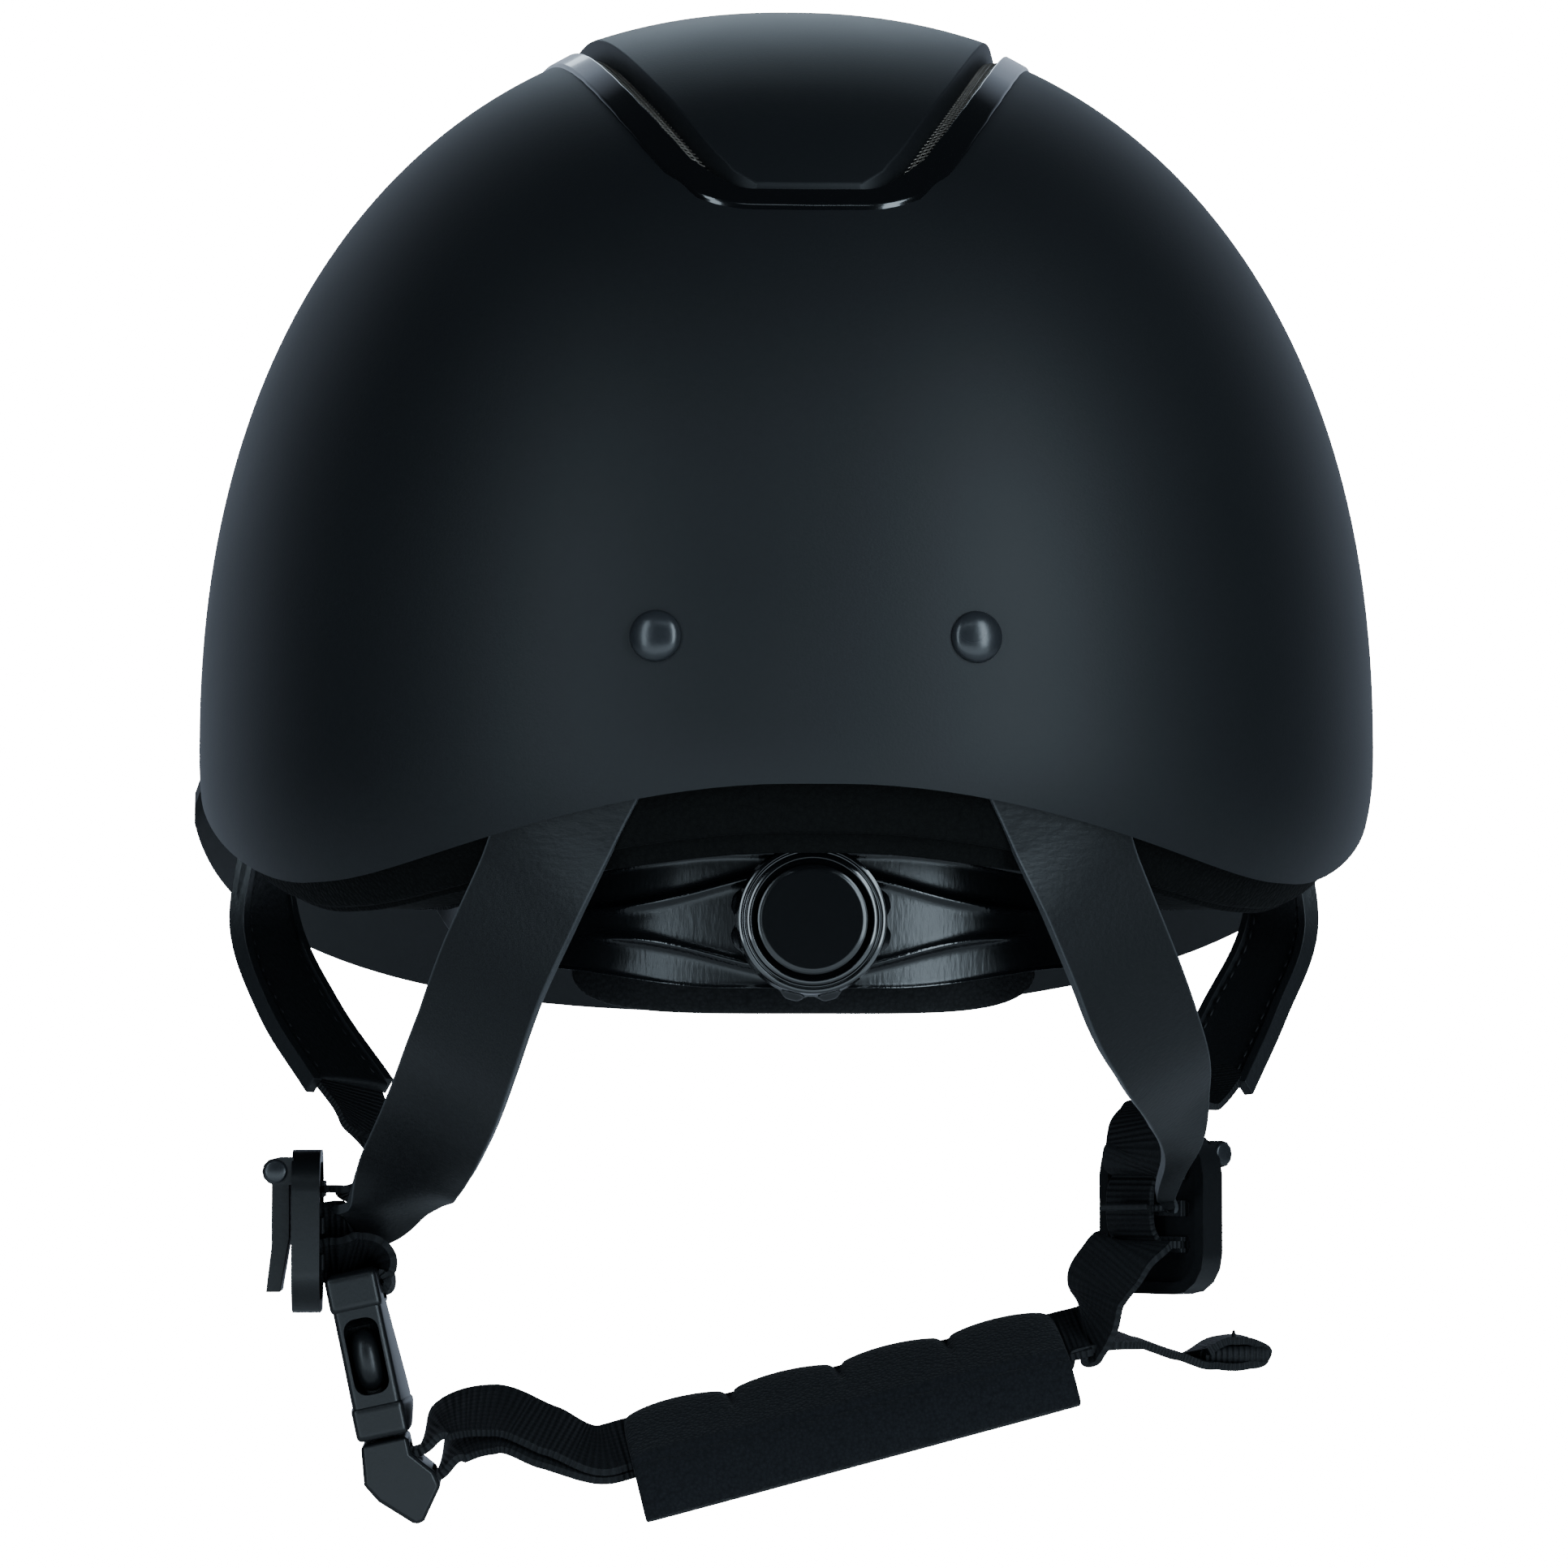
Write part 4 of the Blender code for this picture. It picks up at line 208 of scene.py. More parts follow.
# a finish: effect, dark and light tone, roughness range, scales, bump strength and depth, shader values
specular = "Specular IOR Level"
finishes = {
    "mattShell": ("grain", (0.0050, 0.0058, 0.0072), (0.0078, 0.0088, 0.0105), (0.50, 0.58), (2200.0,),
                  (0.10, 0.0002), {specular: 0.42}),
    "glossTrim": ("grain", (0.0030, 0.0032, 0.0038), (0.0048, 0.0050, 0.0056), (0.10, 0.16), (500.0,),
                  (0.01, 0.0002), {specular: 0.5, "Coat Weight": 0.4, "Coat Roughness": 0.05}),
    "wireMesh": ("grain", (0.26, 0.23, 0.20), (0.50, 0.45, 0.40), (0.30, 0.45), (1500.0,),
                 (0.15, 0.0001), {"Metallic": 0.6}),
    "edgeFoam": ("knit", (0.0010, 0.0011, 0.0010), (0.0036, 0.0040, 0.0036), (0.90, 0.97), (1100.0,),
                 (0.5, 0.0004), {specular: 0.18}),
    "liningKnit": ("knit", (0.0040, 0.0042, 0.0046), (0.0130, 0.0135, 0.0145), (0.85, 0.95), (1300.0,),
                   (0.6, 0.0004), {specular: 0.25, "Sheen Weight": 0.1}),
    "rivetPaint": ("grain", (0.018, 0.020, 0.023), (0.028, 0.030, 0.034), (0.24, 0.30), (1500.0,),
                   (0.05, 0.0002), {specular: 0.6}),
    "strapLeather": ("grain", (0.0048, 0.0053, 0.0060), (0.0082, 0.0089, 0.0100), (0.42, 0.50), (1100.0,),
                     (0.22, 0.0003), {specular: 0.38}),
    # cover tones are lighter than the strap leather's to brighten covers that face away from the lamps:
    # partly the leather's own tone, partly painted fill light
    "coverLeatherPaintedFill": ("grain", (0.0080, 0.0088, 0.0098), (0.0160, 0.0172, 0.0190), (0.46, 0.58), (900.0,),
                     (0.40, 0.0004), {specular: 0.4}),
    "pipingLeather": ("grain", (0.0110, 0.0120, 0.0132), (0.0200, 0.0215, 0.0235), (0.34, 0.44), (900.0,),
                      (0.20, 0.0003), {specular: 0.5}),
    "ribbedWebbing": ("webbing", (0.0030, 0.0034, 0.0042), (0.0115, 0.0125, 0.0145), (0.62, 0.78),
                      (950.0, 700.0), (0.9, 0.0004), {specular: 0.4}),
    "satinPlastic": ("grain", (0.0050, 0.0054, 0.0062), (0.0082, 0.0088, 0.0098), (0.33, 0.42), (1700.0,),
                     (0.10, 0.0002), {specular: 0.5}),
    "dialPlastic": ("grain", (0.0030, 0.0033, 0.0038), (0.0052, 0.0056, 0.0063), (0.10, 0.14), (1700.0,),
                    (0.012, 0.0002), {specular: 0.9}),
    "capPlastic": ("grain", (0.0030, 0.0033, 0.0038), (0.0052, 0.0056, 0.0063), (0.18, 0.22), (1700.0,),
                   (0.012, 0.0002), {specular: 0.55}),
    "plainSteel": ("grain", (0.40, 0.40, 0.41), (0.55, 0.55, 0.56), (0.25, 0.38), (900.0,),
                   (0.08, 0.0001), {"Metallic": 1.0}),
    "chinKnit": ("knit", (0.0040, 0.0046, 0.0060), (0.0120, 0.0132, 0.0160), (0.86, 0.96), (1500.0,),
                 (0.6, 0.0004), {specular: 0.22, "Sheen Weight": 0.06}),
    "blackThread": ("grain", (0.0080, 0.0085, 0.0095), (0.0200, 0.0210, 0.0230), (0.55, 0.70), (2500.0,),
                    (0.3, 0.0002), {specular: 0.4}),
    "cradlePlastic": ("grain", (0.0040, 0.0044, 0.0050), (0.0068, 0.0074, 0.0084), (0.30, 0.36), (1500.0,),
                      (0.26, 0.0002), {specular: 0.6}),
}


def newFinish(name, effect, dark, light, rough, scales, bump, shaderValues):
    finish = bpy.data.materials.new(name)
    finish.use_nodes = True
    tree = finish.node_tree
    woven = effect == "webbing"
    given = {"Vector": addNode(tree, "TexCoord").outputs["UV" if woven else "Object"],
             "Dark": (*dark, 1.0), "Light": (*light, 1.0), "Rough Low": rough[0], "Rough High": rough[1],
             **dict(zip(("Ribs", "Yarns") if woven else ("Scale",), scales))}
    surface = addNode(tree, "Group", given, node_tree=effects[effect]).outputs
    relief = addNode(tree, "Bump", {"Strength": bump[0], "Distance": bump[1], "Height": surface["Height"]})
    shown = {"Base Color": surface["Color"], "Roughness": surface["Roughness"],
             "Normal": relief.outputs["Normal"], **shaderValues}
    feed(tree, tree.nodes["Principled BSDF"], shown)
    return finish


looks = {name: newFinish(name, *row) for name, row in finishes.items()}


def makeWearGroup():  # pale cut edges by the second UV value, creases near the rim by the first
    inputs = {"UV": "Vector", "Vector": "Vector", "Color": "Color", "Edge": "Color", "Height": "Float"}
    group, given, result = newGroup("strapWear", inputs, {"Color": "Color", "Height": "Float"})
    parts = addNode(group, "SeparateXYZ", {0: given["UV"]}).outputs
    rim = fade(group, mathNode(group, "ABSOLUTE", parts["Y"]), 0.955, 0.995, 0.0, 1.0)
    near = fade(group, parts["X"], 0.045, 0.062, 1.0, 0.0)
    squeezed = addNode(group, "VectorMath", {0: given["Vector"], 1: (1.0, 1.0, 3.0)}, operation="MULTIPLY")
    folds = noise(group, squeezed.outputs["Vector"], 330.0, 4.0)
    creased = mathNode(group, "MULTIPLY", mathNode(group, "MULTIPLY", folds, near), 3.0)
    feed(group, result, {"Color": mixColour(group, rim, given["Color"], given["Edge"]),
                         "Height": mathNode(group, "ADD", creased, given["Height"])})
    return group


def addStrapWear(finish, edge):
    tree = finish.node_tree
    shader = tree.nodes["Principled BSDF"]
    relief = shader.inputs["Normal"].links[0].from_node
    where = addNode(tree, "TexCoord").outputs
    given = {"UV": where["UV"], "Vector": where["Object"], "Edge": (*edge, 1.0),
             "Color": shader.inputs["Base Color"].links[0].from_socket,
             "Height": relief.inputs["Height"].links[0].from_socket}
    wear = addNode(tree, "Group", given, node_tree=makeWearGroup()).outputs
    feed(tree, shader, {"Base Color": wear["Color"]})
    feed(tree, relief, {"Height": wear["Height"]})


def addRidgeGloss(finish, low):  # polished ridges, where the first UV value rises to one
    tree = finish.node_tree
    shader = tree.nodes["Principled BSDF"]
    plain = shader.inputs["Roughness"].links[0].from_socket
    parts = addNode(tree, "SeparateXYZ", {0: addNode(tree, "TexCoord").outputs["UV"]})
    blend = addNode(tree, "Mix", {"Factor": parts.outputs["X"], "A": plain, "B": low})
    feed(tree, shader, {"Roughness": blend.outputs["Result"]})


def stretchGrain(finish, scale):
    tree = finish.node_tree
    effect = next(node for node in tree.nodes if node.type == "GROUP")
    where = effect.inputs["Vector"].links[0].from_socket
    stretch = addNode(tree, "VectorMath", {0: where, 1: scale}, operation="MULTIPLY")
    feed(tree, effect, {"Vector": stretch.outputs["Vector"]})


addStrapWear(looks["strapLeather"], (0.055, 0.058, 0.062))
addRidgeGloss(looks["cradlePlastic"], 0.05)
stretchGrain(looks["cradlePlastic"], (1.0, 1.0, 0.25))
print("finishes ready")


# mesh helpers

def smoothStep(low, high, value):
    share = min(1.0, max(0.0, (value - low) / (high - low)))
    return share * share * (3.0 - 2.0 * share)


def asMesh(name, bm):
    mesh = bpy.data.meshes.new(name)
    bm.to_mesh(mesh)
    bm.free()
    return mesh


def newPiece(name, bm, finish, body, cadNames=(), turnFaces=True, placing=None):
    if placing:
        bmesh.ops.transform(bm, matrix=placing, verts=bm.verts)
    if turnFaces:
        bmesh.ops.recalc_face_normals(bm, faces=bm.faces)
    mesh = asMesh(name, bm)
    mesh.materials.append(looks[finish])
    mesh.shade_smooth()
    piece = addObject(name, mesh)
    if body:
        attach(piece, body)
    if cadNames:
        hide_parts(*cadNames)
    return piece


def addStep(piece, name, kind, **settings):
    step = piece.modifiers.new(name, kind)
    for label, value in settings.items():
        setattr(step, label, value)


def addWall(piece, wall, offset=-1.0):
    addStep(piece, "wall", "SOLIDIFY", thickness=wall, offset=offset)


def addEdges(piece, width, segments, angle):
    addStep(piece, "edges", "BEVEL", width=width, segments=segments, limit_method="ANGLE",
            angle_limit=math.radians(angle), harden_normals=True)


def addSmooth(piece):
    addStep(piece, "smooth", "SUBSURF", levels=1, render_levels=1)


def settle(piece):  # modifiers become the mesh
    bpy.context.view_layer.update()
    deps = bpy.context.evaluated_depsgraph_get()
    mesh = bpy.data.meshes.new_from_object(piece.evaluated_get(deps))
    piece.modifiers.clear()
    piece.data = mesh


def cutAway(piece, bm, placing=None):
    if placing:
        bmesh.ops.transform(bm, matrix=placing, verts=bm.verts)
    bmesh.ops.recalc_face_normals(bm, faces=bm.faces)
    cutter = addObject("cutter", asMesh("cutter", bm))
    cutter.hide_render = True
    addStep(piece, "cut", "BOOLEAN", operation="DIFFERENCE", solver="EXACT", object=cutter)
    settle(piece)
    bpy.data.objects.remove(cutter)


def grid(columns, rows):
    bm = bmesh.new()
    bmesh.ops.create_grid(bm, x_segments=columns, y_segments=rows, size=1.0)
    return bm


def doubled(bm):  # copies the faces as a second layer and gives the points of the copy
    items = bmesh.ops.extrude_face_region(bm, geom=bm.faces[:])["geom"]
    return {item for item in items if isinstance(item, bmesh.types.BMVert)}


def joinTo(bm, other):
    bm.from_mesh(asMesh("joined", other))


def setUv(bm, flat):
    layer = bm.loops.layers.uv.new("UVMap")
    for face in bm.faces:
        for corner in face.loops:
            corner[layer].uv = flat(corner.vert)


def roundedBox(size, edge, segments):
    bm = bmesh.new()
    bmesh.ops.create_cube(bm, size=1.0)
    bmesh.ops.scale(bm, vec=size, verts=bm.verts)
    bmesh.ops.bevel(bm, geom=bm.edges[:], offset=edge, affect="EDGES", segments=segments, profile=0.5,
                    material=-1)
    return bm


def divideAlong(bm, axis, least, cuts):  # divides the edges that run along an axis
    lines = [edge for edge in bm.edges if abs(edge.verts[0].co[axis] - edge.verts[1].co[axis]) > least]
    bmesh.ops.subdivide_edges(bm, edges=lines, cuts=cuts, use_grid_fill=True)


def spun(profile, steps):  # radius and height pairs turned about Z
    bm = bmesh.new()
    points = [bm.verts.new((radius, 0.0, height)) for radius, height in profile]
    edges = [bm.edges.new(pair) for pair in zip(points, points[1:])]
    bmesh.ops.spin(bm, geom=points + edges, cent=(0, 0, 0), axis=(0, 0, 1), angle=2 * math.pi, steps=steps,
                   use_merge=True)
    bmesh.ops.remove_doubles(bm, verts=bm.verts, dist=0.000002)
    return bm


def alongAxis(outward, place):
    return Matrix.Translation(place) @ Vector(outward).to_track_quat("Z", "Y").to_matrix().to_4x4()


def refined(cadName, name, body, edge, segments):  # merged copy of a CAD solid with rounded edges
    bm = bmesh.new()
    bm.from_mesh(cadNodes[cadName].data)
    bmesh.ops.remove_doubles(bm, verts=bm.verts, dist=0.00001)
    bmesh.ops.dissolve_limit(bm, angle_limit=math.radians(1.0), verts=bm.verts[:], edges=bm.edges[:])
    piece = newPiece(name, bm, "satinPlastic", body, (cadName,), turnFaces=False)
    addEdges(piece, edge, segments, 28.0)
    addStep(piece, "normals", "WEIGHTED_NORMAL", keep_sharp=True)


# dome: the helmet's own form, by turn from the rear and level from the crown

dome = {"halfWidth": 0.105, "front": 0.125, "rear": 0.122, "crown": 0.1565, "belt": 0.026, "power": 2.2,
        "tuck": 0.06, "tuckPower": 2.5, "wall": 0.003, "beltLevel": 0.8, "edge": (0.0009, 3, 50.0),
        "rearArch": 0.0141, "archTurns": (2.0, 48.0), "sideRim": 0.024, "sideTurns": (51.0, 103.0),
        "linerLip": 0.004, "linerRearLip": 0.0036}


def rearShare(turn):  # one at the middle of the rear rim, nothing at its corners
    return 1.0 - smoothStep(*dome["archTurns"], abs(turn))


def rimHeight(turn):
    return dome["rearArch"] * rearShare(turn) + dome["sideRim"] * smoothStep(*dome["sideTurns"], abs(turn))


def linerRim(turn):
    return rimHeight(turn) - dome["linerLip"] - dome["linerRearLip"] * rearShare(turn)


def planRadius(turn, inset):
    angle = math.radians(turn)
    length = dome["rear"] if math.cos(angle) > 0 else dome["front"]
    across = abs(math.sin(angle)) / (dome["halfWidth"] - inset)
    along = abs(math.cos(angle)) / (length - inset)
    return (across ** dome["power"] + along ** dome["power"]) ** (-1.0 / dome["power"])


def domePoint(turn, level, inset, rim):
    power, belt = dome["power"], dome["belt"]
    if level <= dome["beltLevel"]:
        fall = level / dome["beltLevel"] * math.pi / 2
        share = math.sin(fall) ** (2.0 / power)
        height = belt + (dome["crown"] - inset - belt) * max(0.0, math.cos(fall)) ** (2.0 / power)
    else:
        low = (level - dome["beltLevel"]) / (1.0 - dome["beltLevel"])
        height = belt + (rim - belt) * low
        share = 1.0 - dome["tuck"] * ((belt - height) / belt) ** dome["tuckPower"]
    radius = planRadius(turn, inset) * share
    angle = math.radians(turn)
    return Vector((radius * math.sin(angle), -radius * math.cos(angle), height))


def surfaceAt(turn, height, inset):
    belt = dome["belt"]
    if height >= belt:
        rise = (height - belt) / (dome["crown"] - inset - belt)
        level = math.acos(rise ** (dome["power"] / 2.0)) / (math.pi / 2) * dome["beltLevel"]
        return domePoint(turn, level, inset, 0.0)
    low = (belt - height) / belt
    return domePoint(turn, dome["beltLevel"] + (1.0 - dome["beltLevel"]) * low, inset, 0.0)


def surfaceAxes(turn, height):
    ahead = surfaceAt(turn + 0.3, height, 0.0) - surfaceAt(turn - 0.3, height, 0.0)
    above = surfaceAt(turn, height + 0.0005, 0.0) - surfaceAt(turn, height - 0.0005, 0.0)
    return ahead.normalized(), ahead.cross(above).normalized()


def crownHeight(x, y, inset):
    length = dome["rear"] if y < 0 else dome["front"]
    across = (abs(x) / (dome["halfWidth"] - inset)) ** dome["power"]
    along = (abs(y) / (length - inset)) ** dome["power"]
    share = max(0.0, 1.0 - (across + along)) ** (1.0 / dome["power"])
    return dome["belt"] + (dome["crown"] - inset - dome["belt"]) * share


def domeSheet(inset, rim, segments, rings):
    bm = bmesh.new()
    bmesh.ops.create_uvsphere(bm, u_segments=segments, v_segments=2 * rings, radius=1.0)
    bmesh.ops.delete(bm, geom=[vert for vert in bm.verts if vert.co.z < -0.001], context="VERTS")
    for vert in bm.verts:
        turn = math.degrees(math.atan2(vert.co.x, -vert.co.y))
        level = math.acos(min(1.0, max(0.0, vert.co.z))) / (math.pi / 2)
        depth = inset(turn, level) if callable(inset) else inset
        vert.co = domePoint(turn, level, depth, rim(turn))
    return bm


# crown vent

vent = {"rear": 0.100, "front": 0.088, "midHalf": 0.0455, "frontHalf": 0.030, "taper": 0.012, "curl": 0.017,
        "bend": 5.2, "bendReach": 0.0004, "bendFrom": (0.088, 0.0945), "sideSteps": 12, "cutFrom": 0.06,
        "cutHeight": 0.14, "slot": 0.0034}
trimSizes = {"width": 0.0038, "rise": 0.0009, "edge": 0.0005, "depth": 0.006, "step": 0.0025, "back": 0.0980,
             "corner": 0.007}


def halfAcross(y, inset):  # half-width of the vent's outline at a place along it
    if y > 0.0:
        return vent["midHalf"] - inset + (vent["frontHalf"] - vent["midHalf"]) * y / (vent["front"] - inset)
    share = -y / vent["rear"]
    slope = (vent["taper"] + 4.0 * vent["curl"] * share ** 3) / vent["rear"]
    return (vent["midHalf"] - inset * math.hypot(1.0, slope)
            - vent["taper"] * share - vent["curl"] * share ** 4)


def rearShift(x, y):  # the rear end keeps to one height on the dome
    return vent["bend"] * min(x * x, vent["bendReach"]) * smoothStep(*vent["bendFrom"], -y)


def ventCorners(inset):
    rear, front, steps = inset - vent["rear"], vent["front"] - inset, vent["sideSteps"]
    places = [rear * (steps - step) / steps for step in range(steps + 1)] + [front]
    right = [(halfAcross(y, inset), y) for y in places]
    return right + [(-half, y) for half, y in reversed(right)]


def insideVent(x, y, inset):
    corners = ventCorners(inset)
    for (ax, ay), (bx, by) in zip(corners, corners[1:] + corners[:1]):
        if (bx - ax) * (y - ay) - (by - ay) * (x - ax) < 0.0:
            return False
    return True


def makeShell():
    sheet = domeSheet(0.0, rimHeight, 180, 80)
    shell = newPiece("helmetShell", sheet, "mattShell", "helmet", ("outer_shell",))
    addWall(shell, dome["wall"])
    cutter = bmesh.new()
    back = -(trimSizes["back"] + vent["rear"] - trimSizes["width"]) / 2
    outline = ventCorners(trimSizes["width"] * 0.5) + [(step * 0.002, back) for step in range(-6, 7)]
    ring = [(x, max(y, back + rearShift(x, back)), vent["cutFrom"]) for x, y in outline]
    cutter.faces.new([cutter.verts.new(place) for place in ring])
    bmesh.ops.translate(cutter, vec=(0.0, 0.0, vent["cutHeight"]), verts=list(doubled(cutter)))
    cutAway(shell, cutter)
    addEdges(shell, *dome["edge"])


panelSizes = {"rise": 0.0017, "endRise": 0.0010, "slope": 0.020, "depth": 0.0026, "back": 0.0956,
              "gap": 0.0003, "corner": 0.0022}


def makePanel():
    bm = grid(40, 90)
    back = -panelSizes["back"]
    front = vent["front"] - trimSizes["width"] - panelSizes["gap"]
    inset = trimSizes["width"] + vent["slot"]
    corner = panelSizes["corner"]
    for vert in bm.verts:
        y = back + (front - back) * ((vert.co.y + 1.0) / 2.0)
        end = min(y - back, front - y)
        half = halfAcross(y, inset)
        if end < corner:
            half -= corner - math.sqrt(max(0.0, corner ** 2 - (corner - end) ** 2))
        vert.co = (vert.co.x * half, y + rearShift(vert.co.x * half, y), 0.0)
    raised = doubled(bm)
    for vert in bm.verts:
        slope = smoothStep(back, back + panelSizes["slope"], vert.co.y)
        rise = panelSizes["endRise"] + (panelSizes["rise"] - panelSizes["endRise"]) * slope
        vert.co.z = crownHeight(vert.co.x, vert.co.y, -rise if vert in raised else panelSizes["depth"])
    panel = newPiece("crownPanel", bm, "mattShell", "helmet", ("crown_panel",))
    addEdges(panel, 0.0005, 4, 30.0)


def makeTrim():
    bm = bmesh.new()
    ring = [bm.verts.new((x, y, 0.0)) for x, y in ventCorners(0.0)]
    bm.faces.new(ring)
    last = vent["sideSteps"] + 1
    ends = [ring[index] for index in (0, last, last + 1, 2 * last + 1)]
    bmesh.ops.bevel(bm, geom=ends, offset=trimSizes["corner"], affect="VERTICES", segments=8, profile=0.5,
                    material=-1)
    for edge in bm.edges[:]:
        cuts = int(edge.calc_length() / trimSizes["step"])
        if cuts:
            bmesh.ops.subdivide_edges(bm, edges=[edge], cuts=cuts)
    bmesh.ops.inset_region(bm, faces=bm.faces[:], thickness=trimSizes["width"], use_boundary=True,
                           use_even_offset=True)
    middle = max(bm.faces, key=lambda face: face.calc_area())
    bmesh.ops.delete(bm, geom=[middle], context="FACES_ONLY")
    raised = doubled(bm)
    inner = -(vent["rear"] - trimSizes["width"])
    squeeze = (trimSizes["back"] + inner) / trimSizes["width"]
    for vert in bm.verts:
        crest = insideVent(vert.co.x, vert.co.y, trimSizes["width"] / 2)
        rise = trimSizes["rise"] if crest else trimSizes["edge"]
        if vert.co.y < inner:  # the rear bar is narrower than the sides
            vert.co.y = inner + (vert.co.y - inner) * squeeze
        vert.co.y += rearShift(vert.co.x, vert.co.y)
        vert.co.z = crownHeight(vert.co.x, vert.co.y, -rise if vert in raised else trimSizes["depth"])
    trim = newPiece("ventTrim", bm, "glossTrim", "helmet", ("vent_trim",))
    addEdges(trim, 0.0004, 4, 30.0)


meshSizes = {"pitch": 0.0009, "wire": 0.00034, "depth": 0.0022, "rise": 0.0018, "end": 0.002,
             "underPanel": 0.001, "trimGap": 0.0002}


def makeVentMesh(side, tag):
    back = -(vent["rear"] - trimSizes["width"] - meshSizes["end"])
    front = vent["front"] - trimSizes["width"] - meshSizes["end"]
    bm = grid(5, round((front - back) / meshSizes["pitch"]))
    for vert in bm.verts:
        y = back + (front - back) * (vert.co.y + 1.0) / 2.0
        inner = halfAcross(y, trimSizes["width"] + vent["slot"] + meshSizes["underPanel"])
        outer = halfAcross(y, trimSizes["width"] + meshSizes["trimGap"])
        share = (vert.co.x + 1.0) / 2.0
        x = inner + (outer - inner) * share
        vert.co = (side * x, y, crownHeight(x, y, meshSizes["depth"] - meshSizes["rise"] * share))
    strip = newPiece("ventMesh" + tag, bm, "wireMesh", "helmet", ("vent_mesh_" + tag.lower(),))
    addStep(strip, "wires", "WIREFRAME", thickness=meshSizes["wire"], use_even_offset=False)


makeShell()
makePanel()
makeTrim()
for side, tag in ((-1.0, "Left"), (1.0, "Right")):
    makeVentMesh(side, tag)
print("shell and crown vent made")

# peak

peakSizes = {"overhang": 0.003, "projection": 0.062, "centre": 0.020, "power": 2.3, "wall": 0.0025,
             "rootLift": 0.003, "sideDrop": 0.003, "frontDrop": 0.0365, "dropStart": 0.020,
             "dropPower": 0.87, "tipAngle": 0.05, "tipShare": 0.12, "crown": 0.08}


def makePeak():
    half = dome["halfWidth"] + peakSizes["overhang"]
    centre, start = peakSizes["centre"], peakSizes["dropStart"]
    reach = dome["front"] + peakSizes["projection"] - centre
    power = 2.0 / peakSizes["power"]
    bm = grid(120, 14)
    for vert in bm.verts:
        angle = (vert.co.x + 1.0) / 2.0 * math.pi
        tip = min(1.0, min(angle, math.pi - angle) / peakSizes["tipAngle"])
        least = peakSizes["tipShare"]
        out = (vert.co.y + 1.0) / 2.0 * (least + (1.0 - least) * math.sqrt(1.0 - (1.0 - tip) ** 2))
        cosine = math.cos(angle)
        edgeX = half * math.copysign(abs(cosine) ** power, cosine)
        edgeY = centre + reach * max(0.0, math.sin(angle)) ** power
        dip = max(0.0, (edgeY - start) / (centre + reach - start))
        edgeZ = (dome["sideRim"] - peakSizes["sideDrop"]
                 - peakSizes["frontDrop"] * dip ** peakSizes["dropPower"])
        turn = math.degrees(math.atan2(edgeX, -edgeY))
        root = surfaceAt(turn, dome["sideRim"] + peakSizes["rootLift"], 0.0)
        flat = root.lerp(Vector((edgeX, edgeY, edgeZ)), out)
        crown = 4.0 * out * (1.0 - out) * peakSizes["crown"] * (edgeZ - root.z)
        vert.co = flat - Vector((0.0, 0.0, crown))
    bmesh.ops.translate(bm, vec=(0.0, 0.0, -peakSizes["wall"]), verts=list(doubled(bm)))
    addEdges(newPiece("peakBrim", bm, "mattShell", "helmet", ("peak",)), *dome["edge"])


makePeak()

# liner, lining and brow pad

linerSizes = {"outer": 0.0038, "wall": 0.018, "ventFloor": 0.0105, "ventMargin": 0.001}


def makeLiner():
    bm = domeSheet(linerSizes["outer"], linerRim, 144, 56)
    for vert in bm.verts:  # the foam drops away below the crown vent
        if vert.co.z > vent["cutFrom"] and insideVent(vert.co.x, vert.co.y, -linerSizes["ventMargin"]):
            vert.co.z = crownHeight(vert.co.x, vert.co.y, linerSizes["ventFloor"])
    joinTo(bm, domeSheet(linerSizes["outer"] + linerSizes["wall"], linerRim, 144, 56))
    bmesh.ops.bridge_loops(bm, edges=[edge for edge in bm.edges if edge.is_boundary])
    addEdges(newPiece("foamLiner", bm, "edgeFoam", "helmet", ("impact_liner",)), 0.0022, 4, 50.0)


bindingSizes = {"angle": 64.0, "drop": 0.0026, "rise": 0.0050, "turns": (12.0, 36.0), "wall": 0.0016,
                "inset": 0.0074}


def makeBinding():  # fabric edge of the foam, which hangs lower over the nape
    bm = grid(96, 8)
    for vert in bm.verts:
        turn = vert.co.x * bindingSizes["angle"]
        low = linerRim(turn) - bindingSizes["drop"] * (1.0 - smoothStep(*bindingSizes["turns"], abs(turn)))
        high = linerRim(turn) + bindingSizes["rise"]
        vert.co = surfaceAt(turn, low + (high - low) * (vert.co.y + 1.0) / 2.0, bindingSizes["inset"])
    binding = newPiece("linerBinding", bm, "edgeFoam", "helmet", ("impact_liner",))
    addWall(binding, bindingSizes["wall"])
    addEdges(binding, 0.0005, 3, 50.0)


liningSizes = {"inner": 0.0259, "wall": 0.0016, "seamDepth": 0.0016, "seamWidth": 0.0016,
               "seamFrom": (0.03, 0.15), "panelTurn": 45.0, "panelArc": 0.39, "panelInset": 0.026,
               "rings": 3.0, "ringSeam": 0.07}


def liningDepth(turn, level):  # sewn channels between soft panels
    half = liningSizes["panelTurn"] / 2
    around = abs(((turn + half) % liningSizes["panelTurn"]) - half) / half
    reach = around * planRadius(turn, liningSizes["panelInset"]) * liningSizes["panelArc"]
    ring = abs(((level * liningSizes["rings"]) % 1.0) - 0.5) * 2.0
    between = math.exp(-(reach / liningSizes["seamWidth"]) ** 2)
    seam = max(between, math.exp(-((1.0 - ring) / liningSizes["ringSeam"]) ** 2))
    shown = smoothStep(*liningSizes["seamFrom"], level)
    return liningSizes["inner"] - liningSizes["seamDepth"] * seam * shown


